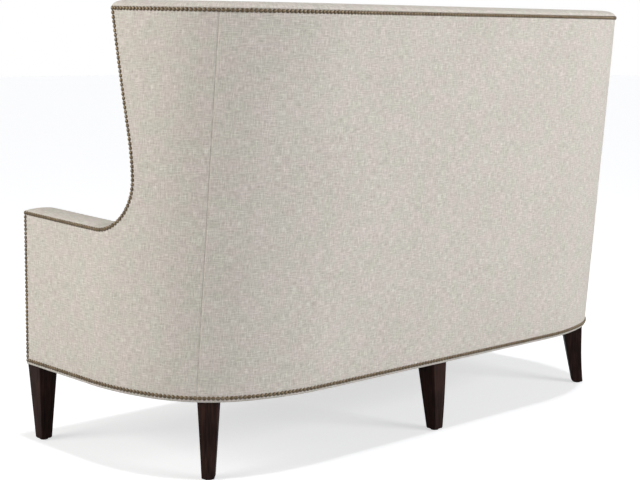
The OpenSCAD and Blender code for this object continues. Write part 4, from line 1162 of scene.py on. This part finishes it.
def leg_piece(name, place, turn, width, inner, outer, run, front):
    """A tapered leg with softened edges; back legs kick outwards towards the foot."""
    ca, sa = math.cos(turn), math.sin(turn)
    points = []
    for z in np.concatenate([[GLIDE_T], np.linspace(GLIDE_T + 2, LEG_TOP_Z, 16)]):
        share = 1 - z / LEG_TOP_Z
        trim = 2.0 if z == GLIDE_T else 0.0
        out = -outer + run * (share if front else max(0.0, 1 - z / KICK_H) ** 2) - trim
        inn = -inner + share * (inner - outer + run - FOOT) + trim
        half = (width + (FOOT - width) * share) / 2 - trim
        for u, w in ((inn, -half), (out, -half), (out, half), (inn, half)):
            x, y = place[0] + u * ca - w * sa, place[1] + u * sa + w * ca
            points.append((x, y, z if z < LEG_TOP_Z else base_z(y) - GAP))
    n = len(points)
    faces = grid_faces(n // 4, 4, wrap=True)[0] + [(3, 2, 1, 0), tuple(range(n - 4, n))]
    piece = new_piece(name + "_wood", to_frame(points), faces)

    def soften(bm):
        bmesh.ops.recalc_face_normals(bm, faces=bm.faces)
        edges = [e for e in bm.edges if e.calc_face_angle(0) > SHARP]
        bmesh.ops.bevel(
            bm, geom=edges, offset=settings().wood.edge, segments=3, affect="EDGES", clamp_overlap=True
        )

    worked(piece.data, soften)
    piece.data.polygons.foreach_set("use_smooth", [True] * len(piece.data.polygons))
    # Flat faces stay flat beside their rounded edges
    piece.modifiers.new("flats", "WEIGHTED_NORMAL").keep_sharp = True
    return piece


class SETTEE_OT_legs(bpy.types.Operator):
    """Makes the six legs."""

    bl_idname = "settee.legs"
    bl_label = "Legs"

    def execute(self, context):
        for spec in leg_specs():
            dress(leg_piece(*spec), "settee", "stained_wood", spec[0])
        return {"FINISHED"}


# ---------------------------------------------------------------- cushion
CUSHION_T = 128.0
CUSHION_Z = DECK_H + GAP + 5.0
CUSHION_ROOM = 8.0
CUSHION_FRONT = 9.0
DRAW = 5.0
WELT_R = 3.4
CROWN_W, CROWN_D, CROWN_FADE, CROWN_POWER = 1580, 620, 250, 2.6
BELLY, BOW = 4.6, 2.2
CORE_INSET = 6.0
COVER_LOWER, CORE_LOWER = 3, 5
# Length, shift and share of the two waves of folds along the seams
FOLDS = ((6.3, 0.0, 0.6), (10.7, 1.1, 0.4))
FOLD_FADE = 9
COLUMNS, ROWS, BOXING = 112, 46, 11
RIM = (
    [(i, 0) for i in range(COLUMNS - 1)] + [(COLUMNS - 1, j) for j in range(ROWS - 1)]
    + [(i, ROWS - 1) for i in range(COLUMNS - 1, 0, -1)] + [(0, j) for j in range(ROWS - 1, 0, -1)]
)


def closer_by_ends(v):
    """Shares between 0 and 1 that lie closer together by both ends, for even steps v between -1 and 1."""
    return 0.5 + 0.5 * (0.6 * v + 0.4 * np.sin(v * QUARTER))


def cushion_edges(z, inset):
    """The four sides of the seam line at height z: front, rear, left and right, each along its own way."""
    d = WALL_T + CUSHION_ROOM + inset
    x0, front = HALF_W - d, CUSHION_FRONT + inset

    def wall(start, end):
        return [(x, inner_y(l, z)) for x, l in (plan(t, d) for t in np.linspace(start, end, 60))]

    def spread(points, count):
        walk = walked(np.array(points))
        at = closer_by_ends(np.linspace(-1, 1, count)) * walk[-1]
        return np.stack([np.interp(at, walk, q) for q in np.transpose(points)], 1)

    half = wall(SEAM_TURN, QUARTER) + [(0.0, inner_y(BACK_L - d, z))]
    right = spread([(x0, front)] + wall(0, SEAM_TURN), ROWS)
    rear = [(-x, y) for x, y in half[:-1]] + half[::-1]
    return spread([(-x0, front), (x0, front)], COLUMNS), spread(rear, COLUMNS), right * (-1, 1), right


def draw_in(pts, z):
    """Pulls the seam line in between its corners."""
    x0, rear = HALF_W - WALL_T - CUSHION_ROOM, inner_y(BACK_L - WALL_T - CUSHION_ROOM, z)
    out = pts.copy()
    u = pts[..., 0] / x0
    v = np.clip((pts[..., 1] - CUSHION_FRONT) / (rear - CUSHION_FRONT), 0, 1)
    out[..., 0] *= 1 - DRAW * (1 - (2 * v - 1) ** 2) / x0 * np.abs(u) ** 3
    out[..., 1] += DRAW * (1 - u * u) * (1 - 2 * v)
    return out


def cushion_grid(z, inset):
    """Points over the whole of the cushion at height z, inside its seam line."""
    front, rear, left, right = cushion_edges(z, inset)
    u = closer_by_ends(2 * np.linspace(0, 1, COLUMNS) - 1)[:, None, None]
    v = closer_by_ends(2 * np.linspace(0, 1, ROWS) - 1)[None, :, None]
    across = (1 - v) * front[:, None] + v * rear[:, None]
    along = (1 - u) * left[None] + u * right[None]
    corners = (1 - u) * ((1 - v) * front[0] + v * rear[0]) + u * ((1 - v) * front[-1] + v * rear[-1])
    return draw_in(across + along - corners, z), u[:, :, 0], v[:, :, 0]


def line_normals(line):
    """Outward normals in plan along a closed line of points."""
    tangent = np.roll(line, -1, 0) - np.roll(line, 1, 0)
    tangent /= np.linalg.norm(tangent, axis=1)[:, None]
    return np.stack([tangent[:, 1], -tangent[:, 0]], 1)


def cushion_mesh(name, inset, crown, belly, bow, pucker):
    """Crowned top and belly inside the seam lines, and boxing between them; returns the piece and its seam points."""
    z0, z1 = CUSHION_Z + inset, CUSHION_Z + CUSHION_T - inset
    low, u, v = cushion_grid(z0, inset)
    high = cushion_grid(z1, inset)[0]
    seam_low, seam_high = (np.array([grid[p] for p in RIM]) for grid in (low, high))
    walk = walked(seam_high)
    gather = sum(np.sin(walk / run + shift) * share for run, shift, share in FOLDS)

    def ease(share, width):
        return 1 - (1 - np.clip(np.minimum(share, 1 - share) * width / CROWN_FADE, 0, 1)) ** CROWN_POWER

    swell = ease(u, CROWN_W) * ease(v, CROWN_D)
    top = np.dstack([high, z1 + crown * swell + pucker * ripple(high[..., 0], high[..., 1] * 1.7, 7.0) * swell])
    under = np.dstack([low, z0 - belly * swell])
    verts = [*top.reshape(-1, 3), *under.reshape(-1, 3)]
    size, n = COLUMNS * ROWS, len(RIM)
    rings = [[size + i * ROWS + j for i, j in RIM]]
    for r in np.arange(1, BOXING) / BOXING:
        line = seam_low * (1 - r) + seam_high * r
        off = bow * math.sin(math.pi * r) + gather * pucker * math.exp(-min(r, 1 - r) * FOLD_FADE)
        rings.append(list(range(len(verts), len(verts) + n)))
        verts += [(x, y, z0 + (z1 - z0) * r) for x, y in line + line_normals(line) * off[:, None]]
    rings.append([i * ROWS + j for i, j in RIM])
    faces = grid_faces(COLUMNS, ROWS)[0] + [f[::-1] for f in grid_faces(COLUMNS, ROWS, size)[0]]
    uvs = [[(verts[q][0] * MM, verts[q][1] * MM) for q in f] for f in faces]
    for below, above in zip(rings, rings[1:]):
        h0, h1 = verts[below[0]][2] * MM, verts[above[0]][2] * MM
        for i in range(n):
            j = (i + 1) % n
            w0, w1 = walk[i] * MM, (walk[j] if j else walk[i] + walk[1]) * MM
            faces.append((below[i], below[j], above[j], above[i]))
            uvs.append([(w0, h0), (w1, h0), (w1, h1), (w0, h1)])
    piece = new_piece(name, to_frame(np.array([tuple(q) for q in verts])), faces, uvs)
    return piece, {"low": seam_low, "high": seam_high}, rings[0] + rings[-1]


def blown_up(piece, sewn, reach):
    """Lets the cloth swell between its seams under pressure, no point moving further than reach, in metres."""
    scene, frames = bpy.context.scene, 20
    start = np.empty(len(piece.data.vertices) * 3, np.float32)
    piece.data.vertices.foreach_get("co", start)
    piece.vertex_groups.new(name="sewn").add(sewn, 1.0, "REPLACE")
    modifier = piece.modifiers.new("cloth", "CLOTH")
    cloth = modifier.settings
    cloth.quality = 5
    cloth.mass = 0.35
    cloth.tension_stiffness = cloth.compression_stiffness = 25
    cloth.bending_stiffness = 1.5
    cloth.use_pressure = True
    cloth.uniform_pressure_force = 4
    cloth.shrink_min = -0.012
    cloth.vertex_group_mass = "sewn"
    cloth.effector_weights.gravity = 0
    modifier.collision_settings.use_collision = False
    modifier.point_cache.frame_start, modifier.point_cache.frame_end = 1, frames
    for step in range(1, frames + 1):
        scene.frame_set(step)
    end = np.empty_like(start)
    piece.evaluated_get(bpy.context.evaluated_depsgraph_get()).data.vertices.foreach_get("co", end)
    moved = (end - start).reshape(-1, 3)
    far = np.linalg.norm(moved, axis=1)[:, None]
    piece.modifiers.remove(modifier)
    scene.frame_set(1)
    piece.data.vertices.foreach_set("co", start + (moved * reach / (reach + far)).ravel())
    piece.data.update()
    most, mean = (round(float(value) / MM, 1) for value in (far.max(), far.mean()))
    print("cushion swelled by", most, "mm at most,", mean, "mm on average")


def rounded_once(piece, sewn):
    """One subdivision that keeps the sewn edges."""
    held, kept = set(sewn), 0.8
    crease = piece.data.attributes.new("crease_edge", "FLOAT", "EDGE")
    crease.data.foreach_set("value", [kept * held.issuperset(e.vertices) for e in piece.data.edges])
    modifier = piece.modifiers.new("rounded", "SUBSURF")
    modifier.levels = modifier.render_levels = 1


def welt_piece(name, line, z, lean, proud):
    """A covered cord sewn into a seam, lying outward of it, lean degrees up from level and proud mm further off."""
    normal = line_normals(line)
    out, up = (WELT_R + 2 * GAP + proud) * ray(math.radians(lean))
    sides, spread = 12, 0.03
    rings = np.zeros((len(line), sides, 3))
    angles = np.linspace(0, 2 * math.pi, sides, endpoint=False)
    for i, (place, n) in enumerate(zip(line, normal)):
        r = WELT_R * (1 + spread * math.sin(i * 1.9))
        rings[i, :, :2] = place + n * (out + r * np.cos(angles)[:, None])
        rings[i, :, 2] = z + up + r * np.sin(angles)
    uv = np.zeros((len(line) + 1, sides + 1, 2))
    uv[:, :, 0] = np.linspace(0, 2 * math.pi * WELT_R * MM, sides + 1)
    uv[:, :, 1] = walked(np.concatenate([line, line[:1]]))[:, None] * MM
    return swept(name, to_frame(rings), uv, closed=True)


def block_faces(n):
    """Faces of a prism on two outlines of n points each."""
    ends = [tuple(range(n)), tuple(range(2 * n - 1, n - 1, -1))]
    return ends + [(j, (j + 1) % n, n + (j + 1) % n, n + j) for j in range(n)]


def zip_fastener(cushion):
    """A closed coil zip along the back boxing, with its tape and pull."""
    z, half, step, lift, tape_t, tooth_lean = CUSHION_Z + CUSHION_T / 2, 420.0, 2.4, 0.9, 0.7, 0.7
    xs = np.linspace(-half, half, 57)
    cloth = cushion.evaluated_get(bpy.context.evaluated_depsgraph_get())
    found = []
    for x in xs:
        met, where, _, _ = cloth.ray_cast(Vector(to_frame((x, BASE_D + WALL_T, z))), Vector((0, -1, 0)))
        if not met:
            raise RuntimeError("the zip found no cloth behind it")
        found.append(where.y / MM + OVERALL_D / 2)

    def back_y(x):
        return float(np.interp(x, xs, found)) + 0.35

    profile = ((-7, 0.5), (-6.5, 0.5), (-1.2, lift), (1.2, lift), (6.5, 0.5), (7, 0.5))
    outer = np.array([[(x, back_y(x) + off, z + h) for h, off in profile] for x in xs])
    inner = outer - (0, tape_t, 0)
    tape = cloth_shell("cushion_zip_tape", to_frame(outer), to_frame(inner), outer[..., ::2] * MM)
    dress(tape, "seat_cushion", "zip_tape", "cushion_zip")
    verts, faces = [], []
    tooth = [(-0.7, 0), (0.7, 0), (0.55, 0.9), (-0.55, 0.9)]
    for k in range(int(2 * half / step)):
        x = -half + k * step
        lean = tooth_lean if k % 2 else -tooth_lean
        faces += [tuple(len(verts) + v for v in f) for f in block_faces(4)]
        for h, shift in ((-1.5, -lean), (1.5, lean)):
            verts += [(x + shift + a, back_y(x) + lift + b, z + h) for a, b in tooth]
    coil = new_piece("cushion_zip_coil", to_frame(verts), faces, smooth_shade=False)
    dress(coil, "seat_cushion", "zip_tape")
    x = 14 - half
    outline = [(0, -3.5), (7, -3.5), (9, -1.8), (26, -2.6), (28, 0), (26, 2.6), (9, 1.8), (7, 3.5), (0, 3.5), (-2, 0)]
    verts = [(x + a, back_y(x) + out, z + b) for out in (2.2, 3.6) for a, b in outline]
    pull = new_piece("cushion_zip_pull", to_frame(verts), block_faces(len(outline)), smooth_shade=False)
    dress(pull, "seat_cushion", "aged_brass")


class SETTEE_OT_cushion(bpy.types.Operator):
    """Makes the seat cushion with its welts and zip."""

    bl_idname = "settee.cushion"
    bl_label = "Seat cushion"

    def execute(self, context):
        p = settings().cushion
        crown = p.crown / MM - COVER_LOWER
        piece, seams, sewn = cushion_mesh("seat_cushion_cloth", 0.0, crown, BELLY, BOW, p.pucker / MM)
        dress(piece, "seat_cushion", "linen_tweed", "cushion_cover")
        blown_up(piece, sewn, p.swell)
        rounded_once(piece, sewn)
        welts = (("top", "high", CUSHION_Z + CUSHION_T, 60, 1.4), ("bottom", "low", CUSHION_Z, -25, 0))
        for name, tag, z, lean, proud in welts:
            welt = welt_piece("cushion_welt_" + name, seams[tag], z, lean, proud)
            dress(welt, "seat_cushion", "linen_tweed", "cushion_welts")
        zip_fastener(piece)
        return {"FINISHED"}


# ---------------------------------------------------------------- what is inside
FILLS = {
    "deck_pad": 3.0, "front_border_pad": 3.0, "arm_front_pads": 3.0, "arm_pads": 4.0, "wing_pads": 4.0,
    "corner_pads": 4.0, "back_pad": 5.0,
}
CARRIED = {
    "planed_timber": (
        "front_rail", "back_rail", "side_rails", "corner_rails", "cross_rails", "front_posts", "side_posts",
        "corner_posts", "back_posts", "arm_rails", "wing_posts", "wing_top_rails", "back_top_rail", "tack_rails",
        "corner_blocks", "leg_blocks",
    ),
    "lining_board": ("arm_linings", "wing_linings", "corner_linings", "back_lining"),
    "spring_steel": ("seat_springs", "spring_clips", "spring_ties"),
    "zinc_steel": ("block_screws", "hanger_bolts"),
    "hessian": ("spring_cover",),
    "black_cloth": ("dust_cover",),
    "glide_plastic": ("leg_glides",),
}
WELD_M = 2e-5
FLAT = math.radians(2)
FOAM_SHARP = math.radians(40)


class SETTEE_OT_fillings(bpy.types.Operator):
    """Makes the foam pads, with the softened edges that cut foam has."""

    bl_idname = "settee.fillings"
    bl_label = "Fillings"

    def execute(self, context):
        for node, radius in FILLS.items():
            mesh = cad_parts[node].data.copy()
            piece = bpy.data.objects.new(node + "_foam", mesh)
            context.scene.collection.objects.link(piece)

            def soften(bm):
                bmesh.ops.remove_doubles(bm, verts=bm.verts, dist=WELD_M)
                bmesh.ops.dissolve_limit(bm, angle_limit=FLAT, verts=bm.verts, edges=bm.edges)
                sharp = [e for e in bm.edges if len(e.link_faces) == 2 and e.calc_face_angle(0) > FOAM_SHARP]
                bmesh.ops.bevel(
                    bm, geom=sharp, offset=radius * MM, segments=2, affect="EDGES", clamp_overlap=True
                )

            worked(mesh, soften)
            dress(piece, "settee", "foam", node)
        crown = settings().cushion.crown / MM - CORE_LOWER
        core, _, _ = cushion_mesh("cushion_core_foam", CORE_INSET, crown, 0.0, 0.0, 0.0)
        rounded_once(core, [])
        dress(core, "seat_cushion", "foam", "cushion_core")
        return {"FINISHED"}


class SETTEE_OT_carcass(bpy.types.Operator):
    """Gives the frame, boards, springs and fixings their finishes."""

    bl_idname = "settee.carcass"
    bl_label = "Carcass finishes"

    def execute(self, context):
        for finish, nodes in CARRIED.items():
            for node in nodes:
                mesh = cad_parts[node].data
                mesh.materials.clear()
                mesh.materials.append(finish_of(finish))
        return {"FINISHED"}


# ---------------------------------------------------------------- stage
CAMERA_MM = (2943.7, 3333.8, 1074.2)
CAMERA_TURN = 47.237
CAMERA_DIP = 4.711
CAMERA_ROLL = -0.041
FOCAL_PX = 1428.7
IMAGE_W = 640
SHIFT_PX = (17.0, -77.0)
SENSOR_MM = 36.0
FAR_M = 100.0
FLOOR_HALF = 40.0
FLOOR_COLOUR = (0.60, 0.61, 0.63, 1)
WHITE = (1, 1, 1, 1)
DOME_TOP = 0.6
SUN_SPREAD = math.radians(5)
LAMP_SIZE = (2.4, 1.8)
LAMP_H = 2.2
LAMP_AIM = (0, 0, 0.6)
# Name, turn in degrees, distance in metres, share of the power, tint
LAMPS = (
    ("left_lamp", -17, 4.2, 1.0, (1.0, 0.95, 0.885)),
    ("right_lamp", 113, 5.2, 1.7, (1.0, 0.985, 0.975)),
)


def light(context, name, kind, energy, rotation, location=(0, 0, 0)):
    """Adds a lamp and returns its data."""
    lamp = bpy.data.lights.new(name, kind)
    lamp.energy = energy
    holder = bpy.data.objects.new(name, lamp)
    holder.location = location
    holder.rotation_euler = rotation
    context.scene.collection.objects.link(holder)
    return lamp


class SETTEE_OT_stage(bpy.types.Operator):
    """Makes the floor, the light and the camera."""

    bl_idname = "settee.stage"
    bl_label = "Stage"

    def execute(self, context):
        self.floor(context)
        self.dome(context)
        self.lamps(context)
        self.camera(context)
        context.scene.view_settings.view_transform = "Standard"
        return {"FINISHED"}

    def floor(self, context):
        """A pale floor that shows the settee's shadow and goes over into the white beyond it."""
        mesh = bpy.data.meshes.new("floor")
        corners = [(x * FLOOR_HALF, y * FLOOR_HALF, 0) for x, y in ((-1, -1), (1, -1), (1, 1), (-1, 1))]
        mesh.from_pydata(corners, [], [(0, 1, 2, 3)])
        floor = bpy.data.objects.new("floor", mesh)
        context.scene.collection.objects.link(floor)
        f = Finish("pale_floor")
        path = f.tree.nodes.new("ShaderNodeLightPath")
        seen = Wire(f, path.outputs["Is Camera Ray"])
        diffuse = f.node("ShaderNodeBsdfDiffuse", None, {"Color": FLOOR_COLOUR})
        glow = {"Color": WHITE, "Strength": seen * settings().stage.floor_glow}
        both = f.node("ShaderNodeAddShader", None, {0: diffuse, 1: f.node("ShaderNodeEmission", None, glow)})
        f.tree.links.new(both.socket, f.output.inputs["Surface"])
        mesh.materials.append(f.material)

    def dome(self, context):
        """Light from all round, weaker towards the zenith, and plain white where the camera sees it."""
        p = settings().stage
        world = bpy.data.worlds.new("studio")
        context.scene.world = world
        world.use_nodes = True
        nodes, link = world.node_tree.nodes, world.node_tree.links.new
        nodes.clear()
        out, path, place, parts, fall, seen, background = (
            nodes.new("ShaderNode" + kind)
            for kind in ("OutputWorld", "LightPath", "TexCoord", "SeparateXYZ", "MapRange", "MapRange", "Background")
        )
        link(place.outputs["Generated"], parts.inputs[0])
        for key, value in (("From Min", 0.0), ("From Max", DOME_TOP), ("To Min", p.horizon), ("To Max", p.overhead)):
            fall.inputs[key].default_value = value
        link(parts.outputs["Z"], fall.inputs["Value"])
        seen.inputs["To Max"].default_value = 1.0
        link(fall.outputs[0], seen.inputs["To Min"])
        link(path.outputs["Is Camera Ray"], seen.inputs["Value"])
        background.inputs["Color"].default_value = WHITE
        link(seen.outputs[0], background.inputs["Strength"])
        link(background.outputs[0], out.inputs["Surface"])

    def lamps(self, context):
        """Two large side lamps, and a light along the back's lean that throws the shadow on the floor."""
        p = settings().stage
        for name, turn, away, share, tint in LAMPS:
            where = Vector((*(away * ray(math.radians(turn))), LAMP_H))
            aim = (Vector(LAMP_AIM) - where).to_track_quat("-Z", "Y").to_euler()
            lamp = light(context, name, "AREA", p.side_watts * share, aim, where)
            lamp.shape = "RECTANGLE"
            lamp.size, lamp.size_y = LAMP_SIZE
            lamp.color = tint
        light(context, "top_light", "SUN", p.top_light, (-RAKE, 0, 0)).angle = SUN_SPREAD

    def camera(self, context):
        """The photograph's camera."""
        data = bpy.data.cameras.new("view")
        camera = bpy.data.objects.new("view", data)
        turn, dip, roll = (math.radians(a) for a in (CAMERA_TURN, CAMERA_DIP, CAMERA_ROLL))
        ahead = Vector((-math.cos(turn) * math.cos(dip), -math.sin(turn) * math.cos(dip), -math.sin(dip)))
        right = ahead.cross(Vector((0, 0, 1))).normalized()
        up = right.cross(ahead)
        right, up = right * math.cos(roll) + up * math.sin(roll), up * math.cos(roll) - right * math.sin(roll)
        matrix = Matrix((right, up, -ahead)).transposed().to_4x4()
        matrix.translation = Vector(to_frame(CAMERA_MM))
        camera.matrix_world = matrix
        data.sensor_width = SENSOR_MM
        data.lens = FOCAL_PX / IMAGE_W * SENSOR_MM
        data.shift_x, data.shift_y = (shift / IMAGE_W for shift in SHIFT_PX)
        data.clip_end = FAR_M
        context.scene.collection.objects.link(camera)
        context.scene.camera = camera


# ---------------------------------------------------------------- panel and running
class SETTEE_PT_panel(bpy.types.Panel):
    """The settee's operators and sizes."""

    bl_idname = "SETTEE_PT_panel"
    bl_label = "Settee"
    bl_space_type = "VIEW_3D"
    bl_region_type = "UI"
    bl_category = "Settee"

    def draw(self, context):
        for step in STEPS:
            self.layout.operator(step.bl_idname)
        for group in ("cloth", "nails", "wood", "cushion", "stage"):
            box = self.layout.box()
            held = getattr(settings(), group)
            box.label(text=group.capitalize())
            for name in held.__annotations__:
                box.prop(held, name)


GROUPS = (SETTEE_PG_cloth, SETTEE_PG_nails, SETTEE_PG_wood, SETTEE_PG_cushion, SETTEE_PG_stage, SETTEE_PG_all)
STEPS = (
    SETTEE_OT_stage,
    SETTEE_OT_outside_cloth,
    SETTEE_OT_rolled_edges,
    SETTEE_OT_inside_cloth,
    SETTEE_OT_front_cloth,
    SETTEE_OT_nails,
    SETTEE_OT_legs,
    SETTEE_OT_cushion,
    SETTEE_OT_fillings,
    SETTEE_OT_carcass,
)


def register():
    for cls in (*GROUPS, *STEPS, SETTEE_PT_panel):
        bpy.utils.register_class(cls)
    bpy.types.Scene.settee = bpy.props.PointerProperty(type=SETTEE_PG_all, name="Settee")


def unregister():
    del bpy.types.Scene.settee
    for cls in reversed((*GROUPS, *STEPS, SETTEE_PT_panel)):
        bpy.utils.unregister_class(cls)


def main():
    """Makes everything in order."""
    register()
    for step in STEPS:
        group, name = step.bl_idname.split(".")
        getattr(getattr(bpy.ops, group), name)()


if __name__ == "__main__":
    main()
